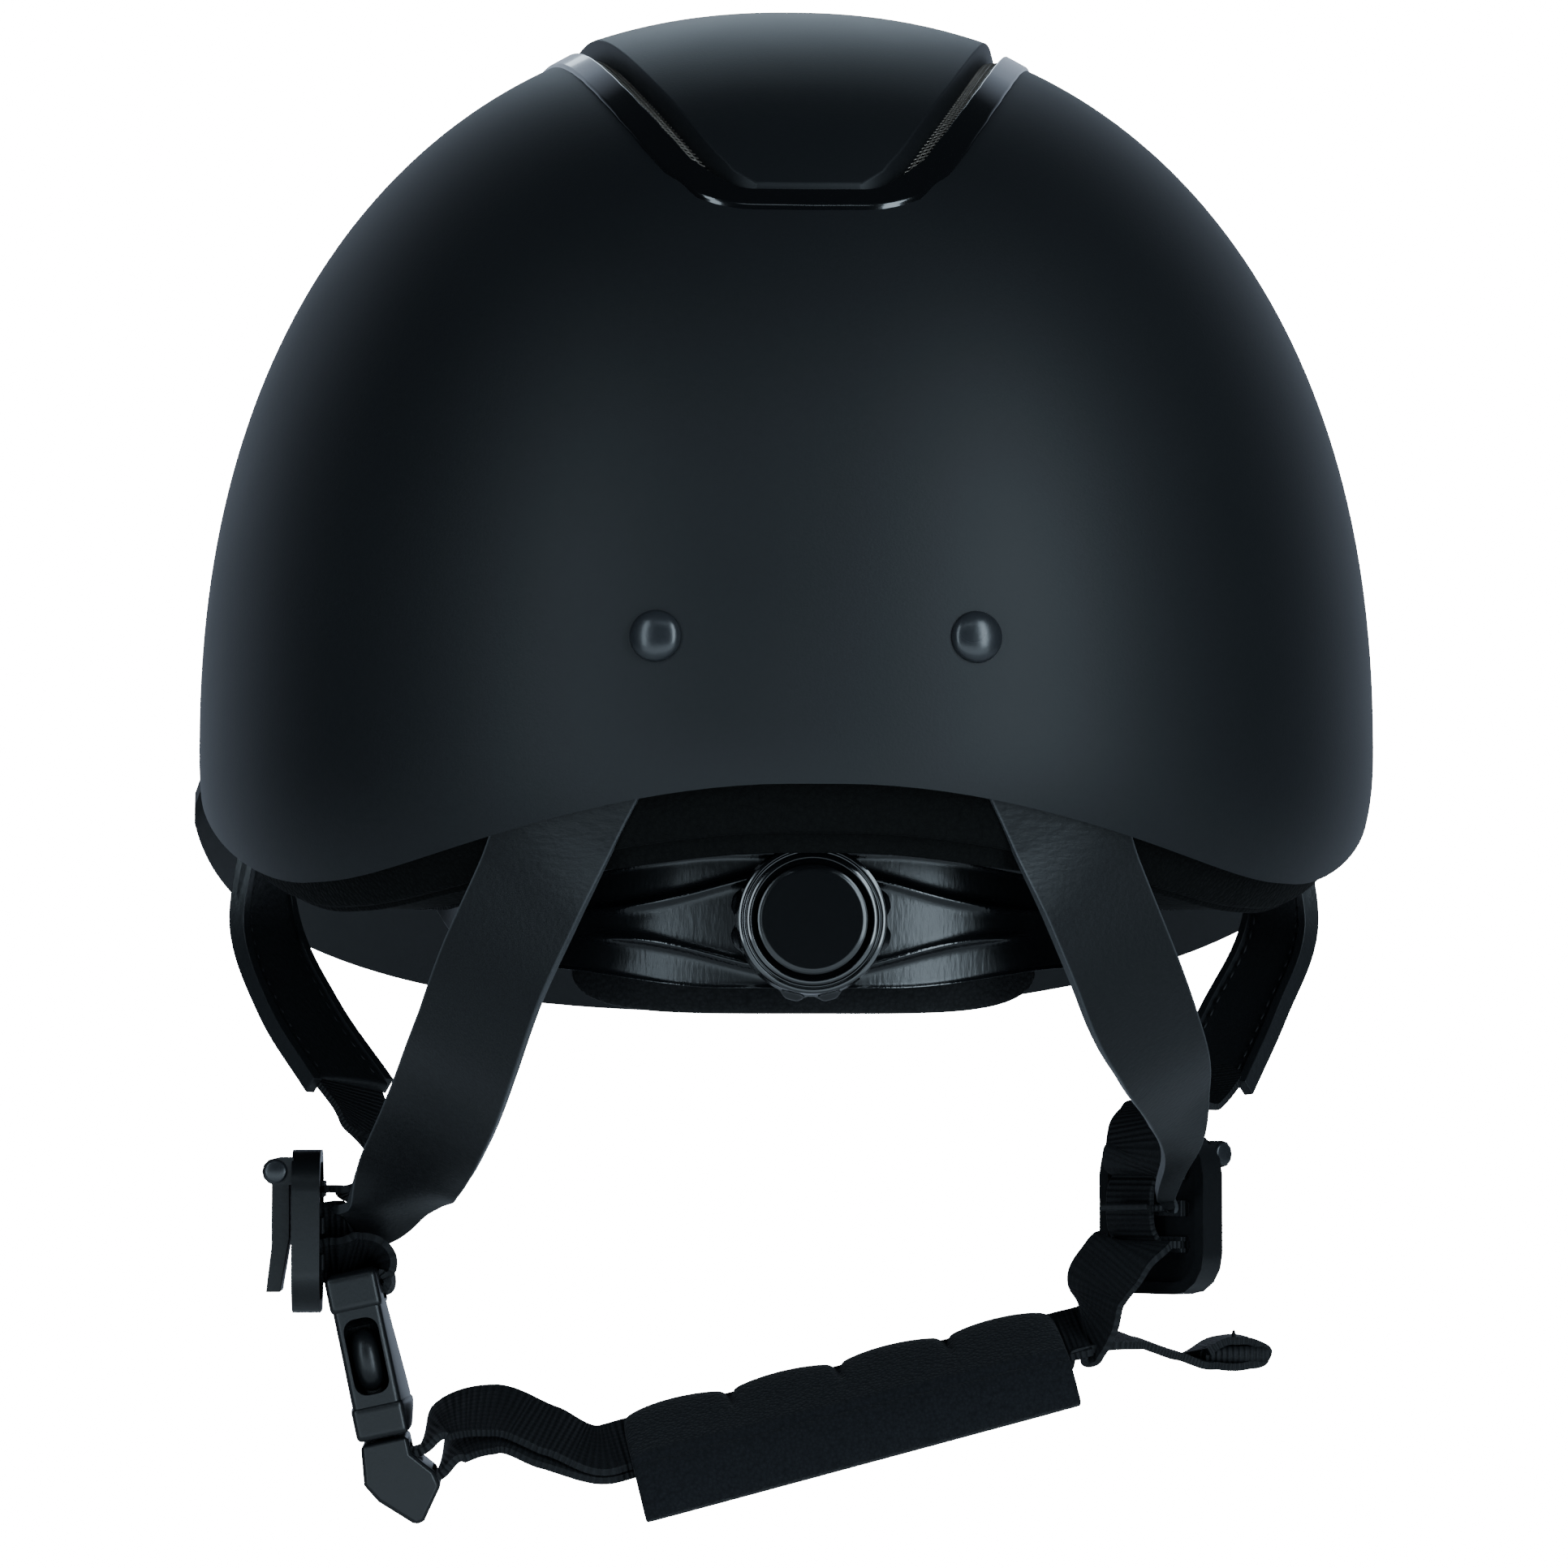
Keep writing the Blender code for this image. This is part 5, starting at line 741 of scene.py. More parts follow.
def makeLining():
    bm = domeSheet(liningDepth, linerRim, 192, 72)
    lining = newPiece("comfortLining", bm, "liningKnit", "helmet", ("comfort_lining",))
    addWall(lining, liningSizes["wall"], 1.0)
    addEdges(lining, 0.0006, 2, 50.0)


def fullness(across, up, shape):  # a pad crowned both ways and drawn in along its sewn channels
    crown = (1.0 - abs(up) ** shape["upPower"]) ** 0.5 * (1.0 - abs(across) ** shape["acrossPower"]) ** 0.5
    wave = abs(math.cos(across * math.pi * shape["channels"])) ** shape["channelPower"]
    crown *= 1.0 - shape["draw"] + shape["draw"] * wave
    return shape["rim"] + (1.0 - shape["rim"]) * crown


browSizes = {"inset": 0.0271, "wall": 0.005, "height": 0.026, "lift": 0.004, "halfAngle": 60.0,
             "taper": 0.35, "upPower": 4, "acrossPower": 10, "channels": 3.0, "channelPower": 0.4,
             "draw": 0.18, "rim": 0.18}


def makeBrowPad():
    bm = grid(80, 14)
    fullSide = doubled(bm)
    for vert in bm.verts:
        across, up = vert.co.x, vert.co.y
        turn = 180.0 + across * browSizes["halfAngle"]
        taper = 1.0 - browSizes["taper"] * across ** 4
        height = linerRim(turn) + browSizes["lift"] + browSizes["height"] * (0.5 + 0.5 * up * taper)
        extra = browSizes["wall"] * fullness(across, up, browSizes) if vert in fullSide else 0.0
        vert.co = surfaceAt(turn, height, browSizes["inset"] + extra)
    pad = newPiece("browPad", bm, "liningKnit", "helmet", ("brow_pad",))
    addSmooth(pad)


makeLiner()
makeBinding()
makeLining()
makeBrowPad()
print("peak, liner and lining made")

# rivets: turn round the dome and height of each pair

rivet = {"radius": 0.0042, "height": 0.0019, "skirt": 0.0004, "lift": 0.0002, "stem": 0.004,
         "rear": (12.3, 0.038), "front": (113.0, 0.047)}


def makeRivet(end, tag, side):
    turn, height = rivet[end]
    radius, lift, skirt = rivet["radius"], rivet["lift"], rivet["skirt"]
    profile = [(0.0, lift + rivet["height"])]
    for step in range(1, 13):
        angle = math.radians(step * 7.5)
        profile.append((radius * math.sin(angle), lift + rivet["height"] * math.cos(angle)))
    profile += [(radius * 1.02, lift - skirt), (radius * 0.9, lift - 2 * skirt), (0.0, -rivet["stem"])]
    placing = alongAxis(surfaceAxes(side * turn, height)[1], surfaceAt(side * turn, height, 0.0))
    newPiece(end + "Rivet" + tag.title(), spun(profile, 56), "rivetPaint", "helmet",
             (end + "_rivet_" + tag,), placing=placing)


for side, tag in ((-1.0, "left"), (1.0, "right")):
    makeRivet("rear", tag, side)
    makeRivet("front", tag, side)

# straps: each stop of a run is a place and the direction of the strap's width

harness = {"strapWidth": 0.020, "strapWall": 0.0016, "coverWall": 0.0022, "webWidth": 0.016,
           "webWall": 0.0014, "thinWeb": 0.0012, "foldWall": 0.0028, "narrowWeb": 0.009,
           "piping": 0.0020, "pipingWall": 0.0034, "inset": 0.0041, "lean": 26.0, "dividerWall": 0.005,
           "slotLift": 0.001, "slotSpacing": 0.0065, "faceWidth": 0.0112, "faceShift": 0.0026,
           "tuckIn": 0.006,
           "rearTop": ((10.3, 0.045), (12.3, 0.038), (16.8, 0.022), (21.2, 0.008)),
           "frontTop": ((112.5, 0.055), (113.0, 0.047), (113.5, 0.032), (114.0, 0.014))}


def spanOf(count, share):  # which span of a run a share falls in, and how far along it
    here = min(share * count, count - 1e-9)
    return int(here), here - int(here)


def blendPlaces(places, share):
    spans = len(places) - 1
    index, t = spanOf(spans, share)

    def slope(stop):
        ahead = places[min(stop + 1, spans)] - places[stop]
        behind = places[stop] - places[max(stop - 1, 0)]
        if stop == 0:
            return ahead.normalized()
        if stop == spans:
            return behind.normalized()
        near, far = behind.length, ahead.length
        return (ahead / far * near + behind / near * far) / (near + far)

    start, end = places[index], places[index + 1]
    length = (end - start).length
    return (start * (2 * t ** 3 - 3 * t ** 2 + 1) + end * (3 * t ** 2 - 2 * t ** 3)
            + slope(index) * length * (t ** 3 - 2 * t ** 2 + t)
            + slope(index + 1) * length * (t ** 3 - t ** 2))


def blendSides(sides, share):
    index, t = spanOf(len(sides) - 1, share)
    return sides[index].lerp(sides[index + 1], t * t * (3 - 2 * t) * 0.5 + t * 0.5)


def strapFrame(run, share):  # place, width direction, outward normal and heading at a share of the run
    places = [Vector(place) for place, side in run]
    sides = [Vector(side).normalized() for place, side in run]
    ahead = blendPlaces(places, min(1.0, share + 0.004)) - blendPlaces(places, max(0.0, share - 0.004))
    ahead.normalize()
    side = blendSides(sides, share)
    side = (side - ahead * side.dot(ahead)).normalized()
    return blendPlaces(places, share), side, ahead.cross(side), ahead


def ribbon(name, run, finish, body, slot, cadNames, width, wall, endWidth=None, span=(0.0, 1.0), crown=0.0,
           narrows=(0.55, 0.95), keepEdge=0.0, edge=0.0004, steps=9, shareUv=False):
    first, reach = span[0], span[1] - span[0]
    last = width if endWidth is None else endWidth
    bm = grid(max(8, round(steps * (len(run) - 1) * reach)), 10)
    distance = [0.0]
    before = strapFrame(run, first)[0]
    for step in range(1, 201):
        here = strapFrame(run, first + reach * step / 200)[0]
        distance.append(distance[-1] + (here - before).length)
        before = here
    flat = {}
    for vert in bm.verts:
        part = (vert.co.x + 1.0) / 2.0
        share = first + reach * part
        across = vert.co.y / 2.0
        place, side, normal = strapFrame(run, share)[:3]
        breadth = width + (last - width) * smoothStep(*narrows, share)
        place = place + side * (keepEdge * (width - breadth) / 2)
        flat[vert] = (distance[round(part * 200)], 2.0 * across if shareUv else across * breadth)
        vert.co = place + side * (across * breadth) + normal * (crown * (1.0 - (2 * across) ** 2))
    setUv(bm, flat.get)
    strap = newPiece(name, bm, finish, body, cadNames, turnFaces=False)
    addWall(strap, wall, 0.0)
    addEdges(strap, edge, 2, 50.0)
    return strap


def webRibbon(name, run, body, cadNames, width, wall, **more):
    return ribbon(name, run, "ribbedWebbing", body, "webbing", cadNames, width, wall, **more)


stitch = {"pitch": 0.0032, "wide": 0.00028, "high": 0.00022, "lift": 0.00125, "rows": (-0.34, 0.34),
          "span": (0.42, 0.985), "share": 0.95}


def stitches(name, run, width):  # two rows of thread on both faces of a strap
    bm = bmesh.new()
    first, reach = stitch["span"][0], stitch["span"][1] - stitch["span"][0]
    places = [strapFrame(run, first + reach * step / 60)[0] for step in range(61)]
    count = int(sum((after - before).length for before, after in zip(places, places[1:])) / stitch["pitch"])
    size = Matrix.Diagonal((stitch["pitch"] * 0.36, stitch["wide"], stitch["high"], 1.0))
    for index in range(count):
        place, side, normal, ahead = strapFrame(run, first + reach * (index + 0.5) / count)
        turn = Matrix((ahead, side, normal)).transposed().to_4x4()
        for offset in stitch["rows"]:
            row = place + side * (offset * width * stitch["share"])
            for facing in (-1.0, 1.0):
                spot = Matrix.Translation(row + normal * (stitch["lift"] * facing))
                bmesh.ops.create_icosphere(bm, subdivisions=1, radius=1.0, matrix=spot @ turn @ size)
    newPiece(name, bm, "blackThread", "helmet")


def strapStop(turn, height, lean, sense):
    ahead, normal = surfaceAxes(turn, height)
    across = Matrix.Rotation(math.radians(lean), 3, normal) @ (ahead * sense)
    return surfaceAt(turn, height, harness["inset"]), across


leftDivider = Matrix.Translation((-0.0855, 0.0, -0.0600)) @ Matrix.Rotation(math.pi, 4, "Z")
rightDivider = Matrix.Translation((0.0680, 0.0, -0.0570)) @ Matrix.Rotation(math.radians(40), 4, "Z")


def slotStops(divider, order, approach, flip=False, tilt=0.0):
    level = harness["slotLift"] + harness["slotSpacing"] * (1 - order)
    side = divider.to_3x3() @ Vector((0.0, -1.0 if flip else 1.0, 0.0))
    half = harness["dividerWall"] / 2
    found = []
    depths = (-half - approach, -half - approach / 2, -half, half - 0.0003)
    for place, share in zip(depths, (1.0, 1.0, 0.9, 0.3)):
        lean = Vector((0.0, 0.0, math.tan(math.radians(tilt * share))))
        found.append((divider @ Vector((place, 0.0, level)), (side + lean).normalized()))
    return found


def stops(*rows):  # rows of a place in millimetres and a width direction
    return [(tuple(value * 0.001 for value in row[:3]), row[3:]) for row in rows]


leftRearRun = stops((-45.8, -102.0, -2.0, 0.82, -0.40, -0.40), (-51.8, -94.0, -15.0, 0.80, -0.42, -0.42),
                    (-56.6, -79.0, -28.0, 0.80, -0.40, -0.45), (-61.7, -48.0, -40.2, 0.78, -0.10, -0.60),
                    (-66.5, -21.0, -49.0, 0.62, 0.55, -0.55), (-71.2, -6.0, -56.0, 0.15, 0.95, -0.30))
rightRearRun = stops((46.0, -102.0, -2.0, -0.82, -0.40, -0.40), (52.1, -94.0, -15.0, -0.80, -0.42, -0.42),
                     (58.2, -79.0, -28.0, -0.80, -0.40, -0.45), (63.0, -50.0, -40.2, -0.80, -0.15, -0.58),
                     (62.5, -27.0, -49.0, -0.85, 0.20, -0.45), (59.0, -13.0, -54.8, -0.75, 0.60, -0.20))
leftFrontRun = stops((-95.0, 42.0, -4.0, 0.50, 0.86, 0.05), (-88.5, 32.0, -19.3, 0.62, 0.78, 0.05),
                     (-78.5, 18.0, -34.0, 0.70, 0.70, 0.0))
rightFrontRun = stops((95.0, 42.0, -4.0, -0.50, 0.86, 0.05), (87.0, 31.0, -20.0, -0.62, 0.78, 0.05),
                      (78.4, 18.0, -34.5, -0.70, 0.70, 0.0))
leftFrontWeb = stops((-74.8, 10.0, -43.0, 0.55, 0.80, -0.20), (-74.2, 3.0, -50.0, 0.12, 0.98, -0.10))
rightFrontWeb = stops((73.2, 9.0, -37.6, -0.67, 0.74, 0.0), (67.8, 0.0, -37.8, -0.62, 0.78, 0.0),
                      (64.3, -4.2, -41.2, -0.60, 0.80, 0.0), (63.6, -5.2, -46.4, -0.62, 0.78, 0.0))


def makeRearStrap(tag, side, middle, ends, keepEdge, endWidth, narrows, reach, webWidth):
    lean = side * harness["lean"]
    top = [strapStop(side * turn, height, lean, -side) for turn, height in harness["rearTop"]]
    run = top + middle + ends
    name, cadNames = "rearStrap" + tag.title(), ("rear_strap_" + tag,)
    ribbon(name, run, "strapLeather", "helmet", "strap", cadNames, harness["strapWidth"],
           harness["strapWall"], endWidth=endWidth, narrows=narrows, keepEdge=keepEdge, span=(0.0, reach),
           edge=0.0005, shareUv=True)
    webRibbon(name + "Web", run, "helmet", cadNames, webWidth, harness["thinWeb"], span=(reach - 0.05, 1.0))


def makeFrontStrap(tag, side, middle, web):
    top = [strapStop(side * turn, height, 0.0, side) for turn, height in harness["frontTop"]]
    run = top + middle
    name, width = "frontCover" + tag.title(), harness["strapWidth"]
    cover = ribbon(name, run, "coverLeatherPaintedFill", "helmet", "strap", ("front_strap_cover_" + tag,), width,
                   harness["coverWall"], endWidth=harness["webWidth"] * 1.1, crown=0.0004, edge=0.0008)
    for label, edge in (("A", -0.5), ("B", 0.5)):  # piped border along each edge
        border = [(Vector(place) + Vector(across).normalized() * edge * (width - harness["piping"]), across)
                  for place, across in run]
        ribbon(name + "Piping" + label, border, "pipingLeather", "helmet", "strap", (), harness["piping"],
               harness["pipingWall"], edge=0.0009)
    stitches(name + "Stitching", run, width)
    tip = Vector(middle[-1][0])
    start = tip - (tip - Vector(middle[-2][0])).normalized() * harness["tuckIn"]
    webRibbon("frontWeb" + tag.title(), [(start, middle[-1][1])] + web, "helmet", ("front_webbing_" + tag,),
              harness["webWidth"], harness["thinWeb"])


def makeSlotFolds(tag, divider, flip):  # webbing doubled over the divider's bars
    for order in range(3):
        run = slotStops(divider, order, 0.0006, flip)
        webRibbon("slotFold" + tag.title() + str(order), run, "helmet", (), harness["webWidth"],
                  harness["foldWall"])


def makeSlotCover(divider):  # webbing over the divider's inner face, from its top slot to its bottom one
    back = -harness["dividerWall"] / 2
    across = divider.to_3x3() @ Vector((0.0, 1.0, 0.0))
    reach = harness["slotSpacing"]
    bow = ((0.0004, reach), (0.0022, reach * 0.6), (0.0027, 0.0), (0.0022, -reach * 0.6), (0.0004, -reach))
    run = [(divider @ Vector((back - out, harness["faceShift"], harness["slotLift"] + level)), across)
           for out, level in bow]
    webRibbon("slotCoverRight", run, "helmet", (), harness["faceWidth"], harness["thinWeb"])


makeSlotFolds("left", leftDivider, True)
makeSlotCover(rightDivider)
makeSlotFolds("right", rightDivider, False)
makeRearStrap("left", -1.0, leftRearRun, slotStops(leftDivider, 1, 0.005, True, -30.0), 0.0, 0.0170,
              (0.50, 0.76), 0.76, harness["webWidth"])
makeRearStrap("right", 1.0, rightRearRun, slotStops(rightDivider, 1, 0.005), -1.0, 0.0024,
              (0.387, 0.72), 0.79, harness["narrowWeb"])
makeFrontStrap("left", -1.0, leftFrontRun, leftFrontWeb + slotStops(leftDivider, 0, 0.004, True))
makeFrontStrap("right", 1.0, rightFrontRun, rightFrontWeb + slotStops(rightDivider, 0, 0.0018))
print("rivets and straps made")

# nape cradle, pad and dial, on arcs about a vertical axis

nape = {"radius": 0.068, "centreY": -0.029, "level": -0.0073, "wall": 0.0022, "span": 44.0, "height": 0.022,
        "endHeight": 0.0145, "narrows": (0.25, 0.95), "ribRise": 0.0012, "ribShare": 0.26, "ribSwell": 0.52,
        "ribReach": 16.0, "ribFade": (0.55, 0.85), "plateShare": 0.55, "lipRise": 0.0007, "lipWidth": 0.0010,
        "beadRise": 0.00035, "beadWidth": 0.0005}


def arcPoint(angle, radius, height):
    turn = math.radians(angle)
    return Vector((radius * math.sin(turn), nape["centreY"] - radius * math.cos(turn), height))


def cradleHalf(angle):
    share = abs(angle) / nape["span"]
    half = (nape["height"] + (nape["endHeight"] - nape["height"]) * smoothStep(*nape["narrows"], share)) / 2
    return half * math.sqrt(max(0.05, 1.0 - max(0.0, (share - 0.9) / 0.1) ** 2 * 0.6))


def cradleRise(angle, away):  # raised bow tie with a lip along each edge, and a bead on both rims
    half = cradleHalf(angle)
    rib = half * (nape["ribShare"] + nape["ribSwell"] * math.exp(-(angle / nape["ribReach"]) ** 2))
    fading = 1.0 - smoothStep(*nape["ribFade"], abs(angle) / nape["span"])
    plate = 1.0 - smoothStep(rib - 0.0002, rib + 0.0009, abs(away))
    lip = math.exp(-((abs(away) - rib) / nape["lipWidth"]) ** 2)
    bead = math.exp(-((half - abs(away)) / nape["beadWidth"]) ** 2)
    raised = nape["ribRise"] * nape["plateShare"] * plate + nape["lipRise"] * lip
    return fading * raised + nape["beadRise"] * bead, max(fading * lip, bead)


def makeCradle():
    bm = grid(150, 84)
    hidden = doubled(bm)
    gloss = {}
    for vert in bm.verts:
        angle = vert.co.x * nape["span"]
        away = vert.co.y * cradleHalf(angle)
        rise, gloss[vert] = cradleRise(angle, away)
        radius = nape["radius"] - nape["wall"] if vert in hidden else nape["radius"] + rise
        vert.co = arcPoint(angle, radius, nape["level"] + away)
    setUv(bm, lambda vert: (gloss[vert], 0.5))
    cradle = newPiece("napeCradle", bm, "cradlePlastic", "cradle", ("nape_cradle",))
    addEdges(cradle, 0.0005, 3, 60.0)


napePadSizes = {"outer": 0.0611, "wall": 0.0045, "span": 40.0, "top": 0.002, "bottom": -0.0225,
                "gap": 0.0003, "endDraw": 0.28, "upPower": 3.0, "acrossPower": 8, "channels": 2.5,
                "channelPower": 0.35, "draw": 0.20, "rim": 0.22}


def makeNapePad():
    sizes = napePadSizes
    bm = grid(70, 14)
    headSide = doubled(bm)
    for vert in bm.verts:
        across, up = vert.co.x, vert.co.y
        draw = (1.0 - math.sqrt(max(0.0, 1.0 - across ** 4))) * sizes["endDraw"]
        draw *= sizes["top"] - sizes["bottom"]
        low, high = sizes["bottom"] + draw, sizes["top"] - draw
        height = low + (high - low) * (up + 1.0) / 2.0
        depth = sizes["gap"] + sizes["wall"] * fullness(across, up, sizes) if vert in headSide else 0.0
        vert.co = arcPoint(across * sizes["span"], sizes["outer"] - depth, height)
    pad = newPiece("napePad", bm, "liningKnit", "cradle", ("nape_pad",))
    addSmooth(pad)


dial = {"radius": 0.0134, "depth": 0.0095, "lobeSpread": 14.0, "lobeDepth": 0.0010, "lobeFrom": 0.0126,
        "rings": (0.0121, 0.0107), "capRadius": 0.0090, "bore": 0.004, "flange": 0.0030, "gap": 0.0005,
        "coneRun": 0.00027, "coneSlopes": (22.8, 17.4)}


def chamfer(crest, height):  # two narrow cones, each kept flat by points near its ends
    points = [(crest, height - 0.0005)]
    start, run = (crest - 0.00003, height - 0.00020), dial["coneRun"]
    for slope in dial["coneSlopes"]:
        fall = run * math.tan(math.radians(slope))
        points += [(start[0] - run * share, start[1] + fall * share) for share in (0.0, 0.08, 0.92, 1.0)]
        start = points[-1]
    return points


def makeDial():
    top, rim, flange, cap = dial["depth"], dial["radius"], dial["flange"], dial["capRadius"]
    profile = [(dial["bore"], 0.0), (rim - 0.0004, 0.0), (rim - 0.0001, 0.0002), (rim, 0.0006),
               (rim, flange - 0.0006), (rim - 0.0001, flange - 0.0002), (rim - 0.0004, flange),
               (0.0125, flange + 0.0002), (0.0122, flange + 0.0010), (0.01215, top - 0.0014)]
    for crest in dial["rings"]:  # two rings with a bright chamfer
        profile += chamfer(crest, top - 0.0004)
        profile += [(crest - 0.00075, top - 0.0006), (crest - 0.00085, top - 0.0011)]
    profile += [(0.0096, top - 0.0018), (dial["bore"], top - 0.0019)]
    bm = spun(profile, 200)
    for vert in bm.verts:
        radius = vert.co.xy.length
        if radius > dial["lobeFrom"]:
            quarter = abs((math.degrees(math.atan2(vert.co.y, vert.co.x)) + 45.0) % 90.0 - 45.0)
            dip = dial["lobeDepth"] * smoothStep(3.0, 13.0, abs(quarter - dial["lobeSpread"]))
            vert.co.x *= (radius - dip) / radius
            vert.co.y *= (radius - dip) / radius
    back = nape["centreY"] - (nape["radius"] + nape["ribRise"] + dial["gap"])
    placing = Matrix.Translation((0.0, back, nape["level"])) @ Matrix.Rotation(math.pi / 2, 4, "X")
    newPiece("sizeDial", bm, "dialPlastic", "dial", ("dial_knob",), placing=placing)
    face = [(radius, top - 0.0004) for radius in (cap - 0.0008, cap - 0.0010, cap * 0.5, 0.0)]
    bm = spun([(cap, top - 0.0019), (cap, top - 0.0012)] + chamfer(cap, top - 0.0005) + face, 120)
    newPiece("dialCap", bm, "capPlastic", "dial", ("dial_cap",), placing=placing)


makeCradle()
makeNapePad()
makeDial()
for tag in ("left", "right"):
    refined(tag + "_rack_band", tag + "HeadbandArm", tag + "_band", 0.0003, 2)
print("nape cradle and dial made")

# dividers and buckle

pin = {"radius": 0.00115, "head": 0.0021, "headWall": 0.0005, "gap": 0.0001, "place": (0.0054, 0.0, 0.0107)}
for tag in ("left", "right"):
    refined("divider_base_" + tag, "dividerFrame" + tag.title(), "helmet", 0.0006, 3)
    refined("divider_lever_" + tag, "dividerLever" + tag.title(), tag + "_lever", 0.0005, 3)


def makePin(tag, divider, axis):  # rolled pin with a flat head at each end
    place = divider @ Vector(pin["place"])
    solid = cadNodes["divider_pin_" + tag]
    reach = [(solid.matrix_world @ vert.co - place).dot(axis) for vert in solid.data.vertices]
    low, high, gap = min(reach), max(reach), pin["gap"]
    head, wall, radius = pin["head"], pin["headWall"], pin["radius"]
    bm = spun([(0.0, high + wall), (head * 0.8, high + wall), (head, high + wall * 0.5), (head, high + gap),
               (radius, high + gap), (radius, low - gap), (head, low - gap), (head, low - wall * 0.5),
               (head * 0.8, low - wall), (0.0, low - wall)], 32)
    newPiece("dividerPin" + tag.title(), bm, "rivetPaint", "helmet", ("divider_pin_" + tag,),
             placing=alongAxis(axis, place))


makePin("left", leftDivider, Vector((0.0, 1.0, 0.0)))
makePin("right", rightDivider, rightDivider.to_3x3() @ Vector((0.0, 1.0, 0.0)))

buckle = {"mouth": (-0.0715, 0.0020, -0.0970), "lean": -0.208685, "wall": 0.0085, "width": 0.026,
          "length": 0.030, "lift": 0.0005, "bulge": 0.0018,
          "window": (0.0062, 0.012, 0.0136), "windowOut": 0.0125, "windowStart": 0.0080,
          "slot": 0.0034, "slotLevel": 0.0262, "slotSpare": 0.001,
          "collarRise": 0.0008, "collarSide": 0.0006, "topCollar": 0.0068, "mouthCollar": 0.0062,
          "cavity": (0.0059, 0.0230, 0.014)}
buckleFrame = Matrix.Translation(buckle["mouth"]) @ Matrix.Rotation(buckle["lean"], 4, "Y")


def makeFemale():
    wall, width, length = buckle["wall"], buckle["width"], buckle["length"]
    windowMiddle = buckle["lift"] + buckle["windowStart"] + buckle["window"][2] / 2
    collarWall, collarWidth = wall + buckle["collarRise"], width + buckle["collarSide"]
    parts = [("buckleFemale", (wall, width, length), buckle["lift"] + length / 2),
             ("buckleTopCollar", (collarWall, collarWidth, buckle["topCollar"]), length - 0.0031),
             ("buckleMouthCollar", (collarWall, collarWidth, buckle["mouthCollar"]), 0.0036)]
    for name, size, level in parts:
        bm = roundedBox(size, 0.0010, 4)
        bmesh.ops.translate(bm, vec=(0.0, 0.0, level), verts=bm.verts)
        for axis in range(3):  # small faces, so that the cuts stay clean
            divideAlong(bm, axis, 0.004, 9)
        for vert in bm.verts:  # broad faces bulge, more so at the mouth and towards the neck
            swell = (1.0 - min(1.0, abs(vert.co.y) / (width / 2)) ** 2) * (1.25 - vert.co.z / length)
            swell *= smoothStep(-0.002, 0.008, vert.co.z)
            vert.co.x += swell * (buckle["bulge"] if vert.co.x > 0.0 else -0.2 * buckle["bulge"])
        female = newPiece(name, bm, "satinPlastic", "helmet", ("buckle_female",),
                          placing=buckleFrame)
        if name == "buckleFemale":
            for out in (-buckle["windowOut"], buckle["windowOut"]):
                window = roundedBox(buckle["window"], 0.0022, 5)
                cutAway(female, window, buckleFrame @ Matrix.Translation((0.0, out, windowMiddle)))
        if name != "buckleMouthCollar":
            slot = roundedBox((0.03, harness["webWidth"] + buckle["slotSpare"], buckle["slot"]), 0.0008, 2)
            cutAway(female, slot, buckleFrame @ Matrix.Translation((0.0, 0.0, buckle["slotLevel"])))
        if name != "buckleTopCollar":
            cutAway(female, roundedBox(buckle["cavity"], 0.0006, 2), buckleFrame)
        addEdges(female, 0.0003, 2, 40.0)


buttonSizes = {"size": (0.0029, 0.0047, 0.0056), "place": (0.0086, 0.0145), "fill": 0.85,
               "arm": (0.0034, 0.0022, 0.014), "armIn": 0.0008, "armDown": 0.0072}


def makeButton(side, tag):  # oval release button on the prong
    bm = bmesh.new()
    bmesh.ops.create_uvsphere(bm, u_segments=32, v_segments=20, radius=1.0)
    for vert in bm.verts:
        for axis in range(3):
            vert.co[axis] = math.copysign(abs(vert.co[axis]) ** buttonSizes["fill"], vert.co[axis])
    bmesh.ops.scale(bm, vec=buttonSizes["size"], verts=bm.verts)
    arm = roundedBox(buttonSizes["arm"], 0.0005, 2)
    shift = (0.0, -side * buttonSizes["armIn"], -buttonSizes["armDown"])
    bmesh.ops.translate(arm, vec=shift, verts=arm.verts)
    joinTo(bm, arm)
    out, up = buttonSizes["place"]
    newPiece("releaseButton" + tag.title(), bm, "satinPlastic", "prong_" + tag,
             ("buckle_prong_" + tag,), placing=buckleFrame @ Matrix.Translation((0.0, side * out, up)))


makeFemale()
makeButton(-1.0, "rear")
makeButton(1.0, "front")
refined("buckle_male", "buckleMale", "chin_strap", 0.0005, 3)
print("dividers and buckle made")

# chin strap and pad

chin = {"start": (-0.0280, 0.0, -0.0990), "end": (0.0500, 0.0, -0.0800), "tilt": 28.0, "layer": 0.0009,
        "bend": (0.0560, -0.0050, -0.0700), "lead": 0.0045, "upperBar": -0.003476, "lowerBar": -0.008532}


def chinAxes():
    along = (Vector(chin["end"]) - Vector(chin["start"])).normalized()
    tilt = math.radians(chin["tilt"])
    across = Vector((0.0, math.cos(tilt), math.sin(tilt)))
    across = (across - along * across.dot(along)).normalized()
    return along, across, along.cross(across)


chinPadSizes = {"wall": 0.0076, "upper": 0.0105, "lower": 0.0100, "flap": 0.0085, "lobes": 4,
                "notch": 0.0036, "taper": 0.80, "hang": (0.0, -0.25, -1.0), "foldAt": -0.5,
                "foldDepth": 0.34, "foldWidth": 0.045, "creaseDepth": 0.45, "creaseWidth": 0.10,
                "edgeThin": 0.80, "endThin": 0.22}


